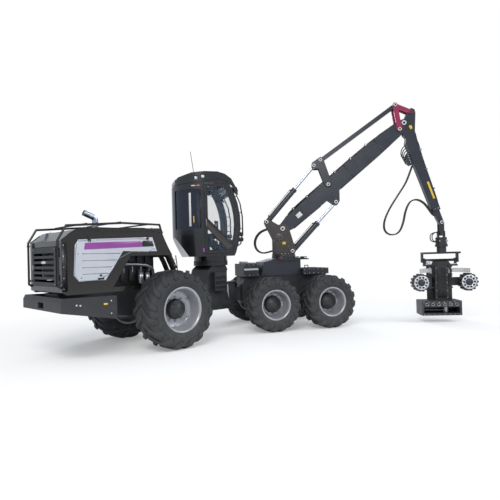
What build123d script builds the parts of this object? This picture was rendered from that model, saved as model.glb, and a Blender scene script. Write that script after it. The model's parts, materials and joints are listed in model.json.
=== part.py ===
"""Six-wheeled forestry harvester: articulated frames, parallel crane and harvester head.

Everything is in millimetres.  It is modelled about the articulation pivot, on the ground, with
the front frame heading along +X, +Y to the left and +Z up.  Each unit has its own place: REAR is
turned about the pivot, CRANE about its slewing axis and CAB stands on its own turning ring.
"""

import os
from math import asin, cos, hypot, pi, radians, sin

from build123d import *

# Driving dimensions
STEER = 28.0            # heading of the rear frame to the left of the front frame's
REAR_AXLE_X = -2600.0   # in the rear frame
BOGIE_X = 1500.0
BOGIE_BASE = 1500.0     # between the two wheels of a bogie
WHEEL_Y = 1075.0        # wheel centre from the middle
TYRE_WIDTH = 710.0
REAR_TYRE_R = 815.0
FRONT_TYRE_R = 668.0
REAR_RIM_R = 446.0
FRONT_RIM_R = 350.0
SLEW_X = 1500.0
SLEW_YAW = -22.0
CAB_X = -700.0          # cab's turning axis, in the rear frame
CAB_YAW = -28.0         # cab's heading, in the rear frame
RUN = 0.4               # clearance of a running face
PIN_FIT = 0.3           # clearance of a pin in its bore
GAP = 8.0               # between moving pieces that pass each other

REAR = Location((0, 0, 0), (0, 0, STEER))
CRANE = Location((SLEW_X, 0, 0), (0, 0, SLEW_YAW))
CAB = REAR * Location((CAB_X, 0, 0), (0, 0, CAB_YAW))
FRONT = Location((0, 0, 0))

NODES = {}


def add(name, place, *solids):
    """Fuses the solids into one node and puts it at its unit's place."""
    NODES[name] = place * (Part() + list(solids))


def box(x, y, z):
    """A block between the three pairs of faces."""
    return Pos(sum(x) / 2, sum(y) / 2, sum(z) / 2) * Box(x[1] - x[0], y[1] - y[0], z[1] - z[0])


def plate(outline, y0, y1):
    """An (x, z) outline extruded across, from y0 to y1."""
    face = make_face(Polyline(*outline, close=True))
    across = Plane(origin=(0, y1, 0), x_dir=(1, 0, 0), z_dir=(0, -1, 0))
    return across * extrude(face, amount=y1 - y0)


def plates(outline, y0, y1):
    """The same plate on both sides of the middle."""
    return [plate(outline, y0, y1), plate(outline, -y1, -y0)]


def rod(a, b, radius):
    """A round bar from a to b."""
    a, b = Vector(*a), Vector(*b)
    line = Plane(origin=a, z_dir=b - a)
    return line * Cylinder(radius, (b - a).length, align=(Align.CENTER, Align.CENTER, Align.MIN))


def drum(a, b, radius, sides=16):
    """A many-sided bar from a to b, for round housings and tubes."""
    a, b = Vector(*a), Vector(*b)
    line = Plane(origin=a, z_dir=b - a)
    return line * extrude(RegularPolygon(radius, sides), amount=(b - a).length)


def pin(point, y0, y1, radius):
    """A round bar across the crane or a wheel, at the (x, z) point."""
    return rod((point[0], y0, point[1]), (point[0], y1, point[1]), radius)


def clear_hole(a, b, radius):
    """A twelve-sided bore that clears a pin of the radius."""
    return drum(a, b, radius / cos(pi / 12), 12)


def bar(points, radius, sides=8):
    """A bent tube with mitred corners."""
    path = Polyline(*points)
    return sweep(Plane(origin=path @ 0, z_dir=path % 0) * RegularPolygon(radius, sides), path=path,
                 transition=Transition.RIGHT)


def hose(points, radius):
    """A hose along the points: straight runs joined by arcs as large as the runs allow."""
    points = [Vector(*p) for p in points]
    edges = []
    start = points[0]
    for before, corner, after in zip(points, points[1:], points[2:]):
        reach = 0.45 * min((corner - before).length, (after - corner).length)
        enter = corner + (before - corner).normalized() * reach
        leave = corner + (after - corner).normalized() * reach
        edges.append(Line(start, enter))
        edges.append(TangentArc(enter, leave, tangent=corner - before))
        start = leave
    edges.append(Line(start, points[-1]))
    path = Wire(edges)
    return sweep(Plane(origin=path @ 0, z_dir=path % 0) * RegularPolygon(radius, 8), path=path)


def faceted(profile, sides, capped=False):
    """A (y, r) profile carried round the Y axis in flat facets, closed on itself or by end caps."""
    rings = [[(r * cos(2 * pi * i / sides), y, r * sin(2 * pi * i / sides)) for y, r in profile]
             for i in range(sides)]
    last = len(profile) - 1 if capped else len(profile)
    faces = []
    for i in range(sides):
        here, there = rings[i], rings[(i + 1) % sides]
        for j in range(last):
            k = (j + 1) % len(profile)
            faces.append(Face(Wire.make_polygon([here[j], here[k], there[k], there[j]])))
    if capped:
        faces += [Face(Wire.make_polygon([ring[end] for ring in rings])) for end in (0, -1)]
    return Solid(Shell(faces))


def grown_plate(outline, by, y0, y1):
    """The plate of an outline that is moved out by a distance."""
    face = offset(make_face(Polyline(*outline, close=True)), amount=by, kind=Kind.INTERSECTION)
    plane = Plane(origin=(0, y1, 0), x_dir=(1, 0, 0), z_dir=(0, -1, 0))
    return plane * extrude(face, amount=y1 - y0)


def link(a, b, wide, y0, y1):
    """A flat link with rounded ends between two (x, z) points."""
    length = hypot(b[0] - a[0], b[1] - a[1])
    ends = [(length, -90), (0, 90)]
    points = [(middle + wide / 2 * cos(radians(start + step)), wide / 2 * sin(radians(start + step)))
              for middle, start in ends for step in range(0, 181, 30)]
    face = make_face(Polyline(*points, close=True))
    along = Plane(origin=(a[0], y1, a[1]), x_dir=(b[0] - a[0], 0, b[1] - a[1]), z_dir=(0, -1, 0))
    return along * extrude(face, amount=y1 - y0)


def member(a, b, outline, y0, y1):
    """A (u, v) outline along the line from a to b, extruded across."""
    face = make_face(Polyline(*outline, close=True))
    along = Plane(origin=(a[0], y1, a[1]), x_dir=(b[0] - a[0], 0, b[1] - a[1]), z_dir=(0, -1, 0))
    return along * extrude(face, amount=y1 - y0)


# Wheels

LUG_HEIGHT = 42.0
LUG_WIDE = 56.0         # across a lug's top
LUG_FLARE = 14.0        # how far each flank spreads to the lug's foot
LUG_LEAN = 42.0         # degrees from the wheel's axis
LUGS = 16               # in each of a tyre's two rows, and the sides of its rim
TREAD_GAP = 4.0         # from the middle of the tread to each row
BEAD = 60.0             # from the tyre's widest to its bead
SHOULDER = 80.0         # from the tyre's widest to the edge of its crown
HUB_FACE = 905.0        # inner face of a wheel's hub from the middle
HUB_R = 215.0


def between(ring, other):
    """Flat triangles between two closed rings of (angle, point) about the Y axis."""
    faces = []
    ring = ring + [(ring[0][0] + 2 * pi, ring[0][1])]
    other = other + [(other[0][0] + 2 * pi, other[0][1])]
    i = j = 0
    while i + 1 < len(ring) or j + 1 < len(other):
        if j + 1 == len(other) or (i + 1 < len(ring) and ring[i + 1][0] <= other[j + 1][0]):
            corners = [ring[i][1], ring[i + 1][1], other[j][1]]
            i += 1
        else:
            corners = [ring[i][1], other[j + 1][1], other[j][1]]
            j += 1
        faces.append(Face(Wire.make_polygon(corners)))
    return faces


def on_wheel(y, radius, angle):
    """A ring's entry: the angle and its point."""
    return angle, (radius * cos(angle), y, radius * sin(angle))


def tyre(radius, rim):
    """A tyre about the Y axis, with two rows of chevron lugs that drop over its shoulders."""
    half = TYRE_WIDTH / 2
    crown = radius - LUG_HEIGHT
    wall = rim + 0.5 * (crown - rim)
    lean = radians(LUG_LEAN)
    pitch = 2 * pi / LUGS
    stations = [
        # distance from the middle, radius of the carcass, radius of the lug's top
        (TREAD_GAP, crown, radius),
        (half - SHOULDER, crown, radius - 4),
        (half - 25, crown - 60, crown - 15),
    ]
    faces = []
    treads = []
    beads = []
    for side in (-1, 1):
        feet, tops = [], []
        for y, low, high in stations:
            feet.append([])
            tops.append([])
            for step in range(LUGS):
                middle = (step + 0.25 * side) * pitch + y * sin(lean) / cos(lean) / crown
                for level, r, reach in ((feet, low, LUG_WIDE / 2 + LUG_FLARE), (tops, high, LUG_WIDE / 2)):
                    spread = reach / cos(lean) / crown
                    level[-1] += [on_wheel(side * y, r, middle - spread),
                                  on_wheel(side * y, r, middle + spread)]
        for k in (0, 1):
            for i in range(2 * LUGS):
                j = (i + 1) % (2 * LUGS)
                strips = [(feet[k][i], feet[k + 1][i], tops[k][i], tops[k + 1][i])]
                if i % 2 == 0:
                    strips.append((tops[k][i], tops[k + 1][i], tops[k][j], tops[k + 1][j]))
                else:
                    strips.append((feet[k][i], feet[k + 1][i], feet[k][j], feet[k + 1][j]))
                for near, far, near_next, far_next in strips:
                    faces.append(Face(Wire.make_polygon([near[1], far[1], far_next[1]])))
                    faces.append(Face(Wire.make_polygon([near[1], far_next[1], near_next[1]])))
        for k in (0, 2):
            for i in range(0, 2 * LUGS, 2):
                faces.append(Face(Wire.make_polygon([entry[1] for entry in (feet[k][i], feet[k][i + 1],
                                                                            tops[k][i + 1], tops[k][i])])))
        start = round(feet[2][0][0] / pitch)
        widest = [on_wheel(side * half, wall, (start + i) * pitch) for i in range(LUGS)]
        faces += between(feet[2], widest)
        beads.append([widest[(i - start) % LUGS][1] for i in range(LUGS)])
        treads.append(feet[0])
    faces += between(treads[1], treads[0][1:] + [(treads[0][0][0] + 2 * pi, treads[0][0][1])])
    inner = [[on_wheel(side * (half - BEAD), rim, i * pitch)[1] for i in range(LUGS)] for side in (-1, 1)]
    for ring, other in ((beads[0], inner[0]), (inner[0], inner[1]), (inner[1], beads[1])):
        for i in range(LUGS):
            j = (i + 1) % LUGS
            faces.append(Face(Wire.make_polygon([ring[i], ring[j], other[j], other[i]])))
    return Solid(Shell(faces))


def rim(radius, side):
    """A deep-dished rim with its planetary hub, opening to the side (-1 right, 1 left)."""
    half = TYRE_WIDTH / 2 - BEAD
    face = HUB_FACE - WHEEL_Y
    disc = face + 150
    wheel = faceted([(face, HUB_R - 30), (disc, HUB_R - 30), (disc, radius - 30), (-half - 24, radius - 16),
                     (-half - 24, radius + 24), (-half - 12, radius), (half + 12, radius),
                     (half + 24, radius + 24), (half + 24, radius - 16), (disc + 30, radius - 60),
                     (disc + 30, HUB_R), (disc + 140, HUB_R - 25), (disc + 165, HUB_R - 90)], LUGS, True)
    return wheel if side > 0 else Rot(0, 0, 180) * wheel


WHEELS = [
    # name, place, x, tyre radius, side
    ("rear_right", REAR, REAR_AXLE_X, REAR_TYRE_R, -1),
    ("rear_left", REAR, REAR_AXLE_X, REAR_TYRE_R, 1),
    ("front_right_rear", FRONT, BOGIE_X - BOGIE_BASE / 2, FRONT_TYRE_R, -1),
    ("front_right_front", FRONT, BOGIE_X + BOGIE_BASE / 2, FRONT_TYRE_R, -1),
    ("front_left_rear", FRONT, BOGIE_X - BOGIE_BASE / 2, FRONT_TYRE_R, 1),
    ("front_left_front", FRONT, BOGIE_X + BOGIE_BASE / 2, FRONT_TYRE_R, 1),
]


def wheels():
    tyres = {REAR_TYRE_R: tyre(REAR_TYRE_R, REAR_RIM_R), FRONT_TYRE_R: tyre(FRONT_TYRE_R, FRONT_RIM_R)}
    rims = {REAR_TYRE_R: REAR_RIM_R, FRONT_TYRE_R: FRONT_RIM_R}
    for name, place, x, radius, side in WHEELS:
        centre = place * Pos(x, side * WHEEL_Y, radius)
        add("tyre_" + name, centre, tyres[radius])
        add("rim_" + name, centre, rim(rims[radius], side))


# Rear frame

FRAME_Y = 330.0         # half width of both frames' beams
FORK_R = 150.0          # round ends at the articulation pivot
FORK = (600.0, 1180.0)  # lowest and highest faces of the fork
FORK_PLATE = 100.0
PIVOT_R = 70.0
PIVOT_BORE = PIVOT_R + PIN_FIT
BEAM_END = 200.0        # from the pivot to the beams' ends
AXLE_R = 130.0


def hinge_plate(z0, z1, side, bore):
    """A plate from a beam's end to the pivot, with a round end and its bore."""
    face = Rectangle(BEAM_END + 60, 2 * FORK_R, align=(Align.MIN, Align.CENTER)) + Circle(FORK_R)
    face -= Circle(bore)
    return Pos(0, 0, z0) * Rot(0, 0, 0 if side > 0 else 180) * extrude(face, amount=z1 - z0)


def rear_frame():
    beam = plate([(-BEAM_END, FORK[0]), (-BEAM_END, FORK[1]), (-520, 1250), (-4700, 1250), (-4700, 960),
                  (-3650, 740), (-3300, 700), (-1900, 700), (-1500, 560), (-500, 560)], -FRAME_Y, FRAME_Y)
    lower = hinge_plate(FORK[0], FORK[0] + FORK_PLATE, -1, PIVOT_BORE)
    upper = hinge_plate(FORK[1] - FORK_PLATE, FORK[1], -1, PIVOT_BORE)
    axle = drum((REAR_AXLE_X, -720, REAR_TYRE_R), (REAR_AXLE_X, 720, REAR_TYRE_R), AXLE_R, 12)
    case = drum((REAR_AXLE_X, -160, REAR_TYRE_R), (REAR_AXLE_X, 160, REAR_TYRE_R), 250)
    knees = [rod((REAR_AXLE_X, s * 700, REAR_TYRE_R), (REAR_AXLE_X, s * (HUB_FACE - RUN), REAR_TYRE_R), 175)
             for s in (-1, 1)]
    add("rear_frame", REAR, beam, lower, upper, axle, case, *knees)


BUMPER_Y = 950.0
BUMPER_X = (-4900.0, -3830.0)


def rear_bumper():
    outline = [(-4900, 950), (-4900, 1130), (-4860, 1210), (-3830, 1190), (-3830, 740)]
    full = plate(outline, -BUMPER_Y, BUMPER_Y)
    inside = plate([(-4840, 1010), (-4840, 1300), (-3700, 1300), (-3700, 600)], -BUMPER_Y + 40,
                   BUMPER_Y - 40)
    slot = box((-4950, -4800), (-140, 140), (990, 1100))
    crossbar = box((-4840, -4701), (-BUMPER_Y + 20, BUMPER_Y - 20), (970, 1120))
    add("rear_bumper", REAR, (full - inside - slot).fuse(crossbar - slot))


HOOD_Y = 780.0
STACK = (-3920.0, -300.0)
STACK_R = 68.0
HOOD_WALL = 40.0
HATCH = [(-4590, 1600), (-4560, 2160), (-4490, 2270), (-2900, 2330), (-2790, 2020), (-3580, 2030),
         (-3960, 1480), (-4490, 1480)]
HATCH_THICK = 40.0
CREASE = 8.0            # depth of the creases across a hatch
CREASES = [
    # height, front end
    (1990, -3640),
    (1860, -3730),
    (1730, -3820),
    (1610, -3900),
]


HOOD = [(-4800, 1300), (-4800, 2250), (-4560, 2440), (-4240, 2480), (-2720, 2510), (-2560, 2160),
        (-2430, 1940), (-2290, 1650), (-2290, 1250), (-4720, 1250)]
HATCH_PIN = 12.0        # hatches' hinge line outside the hood
HINGE_NOTCHES = [
    # start and lowest edge of a hatch's notch, where its hinge's bracket passes
    (-4310, 2215),
    (-3060, 2260),
]
VENTS = 10              # slots along the hood's top edge
VENT_LONG = 80.0
VENT_DEEP = 12.0


def hood():
    inner = [(-4760, 1200), (-4760, 2230), (-4540, 2400), (-4240, 2440), (-2745, 2470), (-2600, 2150),
             (-2470, 1925), (-2330, 1640), (-2330, 1200)]
    shell = plate(HOOD, -HOOD_Y, HOOD_Y) - plate(inner, -HOOD_Y + HOOD_WALL, HOOD_Y - HOOD_WALL)
    bay = plate([(-3420, 1940), (-2480, 1940), (-2340, 1650), (-2340, 1340), (-3810, 1340)], -HOOD_Y - 9,
                HOOD_Y + 9)
    front = box((-2700, -2200), (-560, 560), (1340, 1900))
    rear = box((-4900, -4700), (-600, 600), (1400, 2150))
    arches = [rod((REAR_AXLE_X, side * 700, REAR_TYRE_R), (REAR_AXLE_X, side * 900, REAR_TYRE_R),
                  REAR_TYRE_R + 70)
              for side in (-1, 1)]
    shell = shell - bay - front - rear - arches
    for side in (-1, 1):
        shell -= plate(HATCH, side * HOOD_Y - 200, side * HOOD_Y + 200)
    hinges = []
    for name, side in (("right", -1), ("left", 1)):
        y = sorted((side * (HOOD_Y - HATCH_THICK), side * HOOD_Y))
        line = side * (HOOD_Y + HATCH_PIN)
        leaf = sorted((side * (HOOD_Y - 1), line))
        knuckle = rod((-4250, line, 2262), (-3050, line, 2308), 10)
        wings = [box((x, x + 60), leaf, (2225, 2262)) for x in (-4200, -3200)]
        panel = grown_plate(HATCH, -GAP, *y)
        panel -= [plate([(-4420, z), (-4420, z + 14), (edge, z + 14), (edge, z)], side * HOOD_Y - CREASE,
                        side * HOOD_Y + CREASE)
                  for z, edge in CREASES]
        panel -= [box((x, x + 70), (side * HOOD_Y - 60, side * HOOD_Y + 60), (z, 2400))
                  for x, z in HINGE_NOTCHES]
        add("side_hatch_" + name, REAR, panel, knuckle, *wings)
        outside = sorted((line, side * (HOOD_Y + 3)))
        hinges += [box((-4300, -4250 - RUN), leaf, (2295, 2330)),
                   box((-4300, -4250 - RUN), outside, (2245, 2300)),
                   box((-3050 + RUN, -3000), leaf, (2335, 2360)),
                   box((-3050 + RUN, -3000), outside, (2290, 2340))]
    vents = [box((x, x + VENT_LONG), (side * HOOD_Y - VENT_DEEP, side * HOOD_Y + VENT_DEEP), (2420, 2440))
             for side in (-1, 1) for x in [-4150 + 150 * i for i in range(VENTS)]]
    shell -= vents
    stack_hole = rod((*STACK, 2300), (*STACK, 2600), STACK_R + 0.3)
    line_y = -604
    brackets = [rod((-4832, line_y, z), (-4832, line_y, z + 60), 12).fuse(
        box((-4832, -4795), (line_y - 20, line_y), (z, z + 60))) for z in (1500, 2000)]
    add("engine_hood", REAR, shell - stack_hole, *brackets, *hinges)
    door = box((-4830, -4790), (-590, 590), (1410, 2140))
    pins = [rod((-4832, line_y, z), (-4832, line_y, z + 60),
                12).fuse(box((-4838, -4826), (line_y, -585), (z, z + 60)))
            for z in (1440 - RUN, 1560 + RUN, 1940 - RUN, 2060 + RUN)]
    slots = [box((-4900, -4700), (-500, 500), (1480 + 100 * i, 1530 + 100 * i)) for i in range(6)]
    add("radiator_door", REAR, door - slots, *pins)
    add("engine_block", REAR, box((-4000, -2620), (-350, 350), (1250, 2050)))
    add("exhaust_stack", REAR, bar([(*STACK, 2450), (*STACK, 2700), (STACK[0] - 240, STACK[1], 2820)],
                                   STACK_R))


RAIL_Y = 740.0
RAIL_R = 22.0
RAIL = [(-4790, 1380), (-4850, 1420), (-4850, 2250), (-4690, 2520), (-3560, 2600), (-2700, 2590),
        (-2640, 2400)]


def handrails():
    for name, side in (("right", -1), ("left", 1)):
        tube = bar([(x, side * RAIL_Y, z) for x, z in RAIL], RAIL_R)
        add("handrail_" + name, REAR, tube - plate(HOOD, -HOOD_Y, HOOD_Y))


RING_Z = 1780.0


def cab_pedestal():
    body = plate([(-1150, 1250), (-1050, 1560), (-900, 1680), (-500, 1680), (-430, 1560), (-530, 1250)],
                 -330, 330)
    ring = rod((CAB_X, 0, 1660), (CAB_X, 0, RING_Z), 430)
    add("cab_pedestal", REAR, body, ring)
    step = box((-960, -570), (-460, -331), (1040, 1500))
    cleats = [box((-930, -600), (-480, -440), (z, z + 55)) for z in (1090, 1210, 1330)]
    add("access_steps", REAR, step - cleats)


# Cab

CAB_Y = 740.0
CAB_ROUND_X = -200.0
CAB_WALL = 50.0


SCREEN = (-1341.0, 2675.0)   # middle of the windscreen's curve, in the cab's side view
SCREEN_R = 1956.0


def screen(inset, high, low, parts=6):
    """Points down the windscreen's curve, moved in by the inset, between two heights."""
    radius = SCREEN_R - inset
    ends = [asin((z - SCREEN[1]) / radius) for z in (high, low)]
    turns = [ends[0] + (ends[1] - ends[0]) * i / parts for i in range(parts + 1)]
    return [(SCREEN[0] + radius * cos(turn), SCREEN[1] + radius * sin(turn)) for turn in turns]


def cab_solid(inset):
    """The cab's outer form, moved in by the inset."""
    half = CAB_Y - inset
    plan = Pos(CAB_ROUND_X, 0) * Circle(half)
    plan += Pos((CAB_ROUND_X + 640 - inset) / 2, 0) * Rectangle(640 - inset - CAB_ROUND_X, 2 * half)
    column = Pos(0, 0, 1800) * extrude(plan, amount=2300)
    i = inset
    side = plate([(-640 + i, 1890 + i), (-940 + i, 2400 + i / 2), (-940 + i, 3600 - i / 2),
                  (-840 + i, 3820 - i),
                  (-560, 3900 - i), (-60, 3900 - i), (160 - i / 2, 3850 - i),
                  *screen(inset, 3740 - i, 1960 + i),
                  (440 - i, 1890 + i)], -900, 900)
    return column & side


REAR_PILLAR_X = -270.0
DOOR_TOP = 3640.0
DOOR_FOOT = 1960.0
DOOR_EDGE = 90.0        # door's front edge inside the windscreen's curve
PANE_EDGE = 160.0       # door glass's front edge inside the windscreen's curve
DOOR = [(REAR_PILLAR_X, DOOR_FOOT), (REAR_PILLAR_X, DOOR_TOP), *screen(DOOR_EDGE, DOOR_TOP, DOOR_FOOT)]
DOOR_PANE_HIGH = [(-200, 2790), (-200, DOOR_TOP - 80), *screen(PANE_EDGE, DOOR_TOP - 80, 2200)]
DOOR_PANE_LOW = [(-200, 2040), (-200, 2560), (240, 2040)]
VISOR_THICK = 25.0
VISOR_REAR = [(-900, 3640), (-900, 3770), (-560, 3900), (-190, 3930), (-190, 3700), (-560, 3660)]
VISOR_FRONT = [(-200, 3700), (-200, 3925), (60, 3925), (250, 3870), (400, 3760), (510, 3560), (570, 3370),
               (500, 3400),
               (410, 3590), (280, 3700), (60, 3760)]
LAMP = 80.0             # side of the square lamps
LAMPS = [
    # x, z, half width of the cab there
    (-450, 3765, 696),
    (-290, 3800, 734),
    (-130, 3830, 740),
]
FRONT_LAMPS = (-420, -140, 140, 420)                    # across the cab
GUARD = [(520, 3500), (650, 3180), (700, 2850), (700, 2450), (640, 2180), (540, 2120)]
GUARD_R = 18.0


def roof_lamps():
    """The lamp guard round the roof, its lamps, the bars in front of the windscreen and the aerial."""
    band = (cab_solid(-VISOR_THICK) - cab_solid(10)) & plate(VISOR_REAR, -900, 900)
    pieces = []
    for side in (-1, 1):
        for x, z, half in LAMPS:
            hole = sorted((side * (half - 8), side * (half + 60)))
            band -= box((x - LAMP / 2 - 12, x + LAMP / 2 + 12), hole,
                        (z - LAMP / 2 - 12, z + LAMP / 2 + 12))
            lamp = sorted((side * (half - 45), side * (half + 12)))
            pieces.append(box((x - LAMP / 2, x + LAMP / 2), lamp, (z - LAMP / 2, z + LAMP / 2)))
        pieces.append(plate(VISOR_FRONT, *sorted((side * (CAB_Y - 10), side * (CAB_Y + VISOR_THICK)))))
        pieces.append(bar([(x, side * 600, z) for x, z in GUARD], GUARD_R))
        pieces += [drum((600, side * 560, z), (715, side * 560, z), 50, 10) for z in (2290, 2420)]
    pieces.append(plate([(500, 3560), (540, 3560), (575, 3450), (540, 3450)], -CAB_Y - 5, CAB_Y + 5))
    pieces += [drum((330, y, 3600), (520, y, 3540), 65, 10) for y in FRONT_LAMPS]
    pieces.append(drum((-420, -300, 3880), (-500, -300, 4480), 7, 6))
    return [band, *pieces]


REAR_PANES = [(-900, 2560), (-900, 3500), (-360, 3500), (-360, 2560)]
PANE = 12.0


def cab():
    shell = cab_solid(0) - cab_solid(CAB_WALL)
    doorway = grown_plate(DOOR, GAP, -900, -600)
    left_pane = plate(DOOR_PANE_HIGH, 600, 900)
    left_low = plate(DOOR_PANE_LOW, 600, 900)
    rear_pane = plate(REAR_PANES, -900, 900)
    front_pane = box((250, 800), (-650, 650), (2200, 3480))
    walls = shell - doorway - left_pane - left_low - rear_pane - front_pane
    ring = rod((0, 0, RING_Z + RUN), (0, 0, 1935), 420)
    line = (REAR_PILLAR_X - 4, -CAB_Y - 14)
    eyes = [rod((*line, z), (*line, z + 40),
                12).fuse(box((line[0] - 40, line[0] - 6), (line[1], -CAB_Y + 12), (z, z + 40)))
            for z in (2650 - 40 - RUN, 2740 + RUN, 3450 - 40 - RUN, 3540 + RUN)]
    add("cab_shell", CAB, walls, ring, *eyes, *roof_lamps())
    panes = (cab_solid(20) - cab_solid(20 + PANE)) & (left_pane.fuse(left_low, rear_pane, front_pane))
    NODES["cab_windows"] = CAB * panes
    frame = plate(DOOR, -CAB_Y, -CAB_Y + CAB_WALL) - plate(DOOR_PANE_HIGH, -900, -600)
    frame -= plate(DOOR_PANE_LOW, -900, -600)
    line = (REAR_PILLAR_X - 4, -CAB_Y - 14)
    knuckles = [rod((*line, z), (*line, z + 90),
                    12).fuse(box((line[0], REAR_PILLAR_X + 30), (line[1], -CAB_Y + 1),
                                                             (z, z + 90))) for z in (2650, 3450)]
    add("cab_door", CAB, frame, *knuckles)
    glass = plate(DOOR_PANE_HIGH, -CAB_Y + 20, -CAB_Y + 20 + PANE).fuse(
        plate(DOOR_PANE_LOW, -CAB_Y + 20, -CAB_Y + 20 + PANE))
    NODES["cab_door_pane"] = CAB * glass
    seat = box((-350, 150), (-250, 250), (2350, 2470)).fuse(
        plate([(-350, 2350), (-480, 3100), (-380, 3120), (-230, 2400)], -240, 240),
        rod((-100, 0, 1940), (-100, 0, 2360), 120))
    add("cab_seat", CAB, seat)


# Front frame

DECK_Z = 1340.0
BOGIE_CASE = (545.0, 700.0)     # inner and outer faces of a bogie's case


VALVES = [(1930, -400), (1930, -250), (1930, 120), (1240, -400)]    # corners of the platform's valves


def front_frame():
    beam = plate([(BEAM_END, 640), (BEAM_END, 1150), (330, DECK_Z), (2600, DECK_Z), (2600, 960),
                  (2250, 760), (700, 700)], -FRAME_Y, FRAME_Y)
    tongue = hinge_plate(FORK[0] + FORK_PLATE + GAP, FORK[1] - FORK_PLATE - GAP, 1, PIVOT_R - 5)
    pivot = rod((0, 0, FORK[0] - 20), (0, 0, FORK[1] + 20), PIVOT_R)
    head = rod((0, 0, FORK[1] + RUN), (0, 0, FORK[1] + 40), 110)
    axle = drum((BOGIE_X, -BOGIE_CASE[0], FRONT_TYRE_R), (BOGIE_X, BOGIE_CASE[0], FRONT_TYRE_R), 150, 12)
    add("front_frame", FRONT, beam, tongue, pivot, head, axle)
    for name, side in (("right", -1), ("left", 1)):
        y = sorted((side * BOGIE_CASE[0], side * BOGIE_CASE[1]))
        case = plate([(BOGIE_X - 860, 560), (BOGIE_X - 860, 760), (BOGIE_X - 650, 860),
                      (BOGIE_X + 650, 860), (BOGIE_X + 860, 760), (BOGIE_X + 860, 560),
                      (BOGIE_X + 650, 480), (BOGIE_X - 650, 480)], *y)
        stubs = [rod((BOGIE_X + dx * BOGIE_BASE / 2, side * 650, FRONT_TYRE_R),
                     (BOGIE_X + dx * BOGIE_BASE / 2, side * (HUB_FACE - RUN), FRONT_TYRE_R), 150)
                 for dx in (-1, 1)]
        add("bogie_" + name, FRONT, case, *stubs)
    add("valve_box", FRONT, box((220, 630), (-450, 450), (DECK_Z, 1670)))
    base = plate([(730, DECK_Z), (800, 1700), (1150, 1790), (1850, 1790), (1850, DECK_Z)], -350, 350)
    ring = rod((SLEW_X, 0, 1780), (SLEW_X, 0, 1830), 330)
    platform = box((1190, 2060), (-430, 430), (1740, 1770))
    valves = [box((x, x + 90), (y, y + 110), (1765, 1822)) for x, y in VALVES]
    add("crane_base", FRONT, base, ring, platform, *valves)
    cover = box((1850, 2600), (-500, 500), (DECK_Z, 1500))
    eye = bar([(2120, 0, 1495), (2120, 0, 1570), (2220, 0, 1570), (2220, 0, 1495)], 12, 6)
    add("front_cover", FRONT, cover, eye)


# Crane, in its own plane: (x, z) points from the slewing axis

BOOM_PIN = (0.0, 2590.0)
BACK_PIN = (-430.0, 2790.0)
LIFT_BASE = (250.0, 1980.0)
LIFT_EYE = (1460.0, 3272.0)
ROCKER_PIN = (1260.0, 3750.0)
ROCKER_ROD = (1070.0, 4420.0)
ROCKER_CYLINDER = (890.0, 4280.0)
ELBOW = (3310.0, 5320.0)
LINK_LOW = (3190.0, 5150.0)
LINK_TOP = (3090.0, 5810.0)
STICK_LEVER = (3510.0, 5610.0)
TIP = (4210.0, 2630.0)
PILLAR_Z = 1830.0
BOOM_Y = 110.0          # half width of the boom
CHEEK = 30.0            # thickness of cheek plates
CRANE_PIN_R = 35.0
STICK_ROOT = 70.0       # half width of the stick's root, between the boom's cheeks
FORK_DEPTH = 340.0
LINK_LANE = (118.0, 148.0)
EYE_Y = 55.0            # half width of a cylinder rod's eye
EYE_R = 66.0


def at(a, b, share):
    """The point that lies the given share of the way from a to b."""
    return (a[0] + share * (b[0] - a[0]), a[1] + share * (b[1] - a[1]))


def pillar():
    outline = [(-300, 1900), (300, 1900), (360, 2000), (300, 2150), (160, 2640), (60, 2720), (-120, 2700),
               (-390, 2870), (-500, 2830), (-510, 2740), (-300, 2300)]
    cheeks = plates(outline, BOOM_Y + GAP, BOOM_Y + GAP + 70)
    middle = plate([(-290, 1900), (110, 1900), (90, 2250), (-250, 2300)], -BOOM_Y - GAP, BOOM_Y + GAP)
    foot = rod((0, 0, PILLAR_Z + RUN), (0, 0, 1905), 320)
    pins = [pin(point, -BOOM_Y - GAP - 90, BOOM_Y + GAP + 90, CRANE_PIN_R)
            for point in (BOOM_PIN, BACK_PIN, LIFT_BASE)]
    add("crane_pillar", CRANE, foot, middle, *cheeks, *pins)


def cylinder(name, base, eye, barrel_r, rod_r, barrel_share, floor_share, stem_share):
    """A hydraulic cylinder between two pins: a barrel with its eye and a rod with its eye."""
    end = at(base, eye, barrel_share)
    length = hypot(eye[0] - base[0], eye[1] - base[1])
    start = at(base, eye, 90 / length)
    far = at(base, eye, 1 - 60 / length)
    hole = pin(base, -99, 99, CRANE_PIN_R + PIN_FIT)
    barrel = rod((start[0], 0, start[1]), (end[0], 0, end[1]), barrel_r)
    floor = at(base, eye, floor_share)
    barrel -= rod((floor[0], 0, floor[1]), (eye[0], 0, eye[1]), rod_r + RUN)
    base_eye = link(base, start, 2 * barrel_r - 10, -60, 60) - hole
    add(name + "_barrel", CRANE, barrel, base_eye)
    stem_start = at(base, eye, stem_share)
    stem = rod((stem_start[0], 0, stem_start[1]), (far[0], 0, far[1]), rod_r)
    add(name + "_rod", CRANE, stem, pin(eye, -EYE_Y, EYE_Y, EYE_R))


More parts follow.
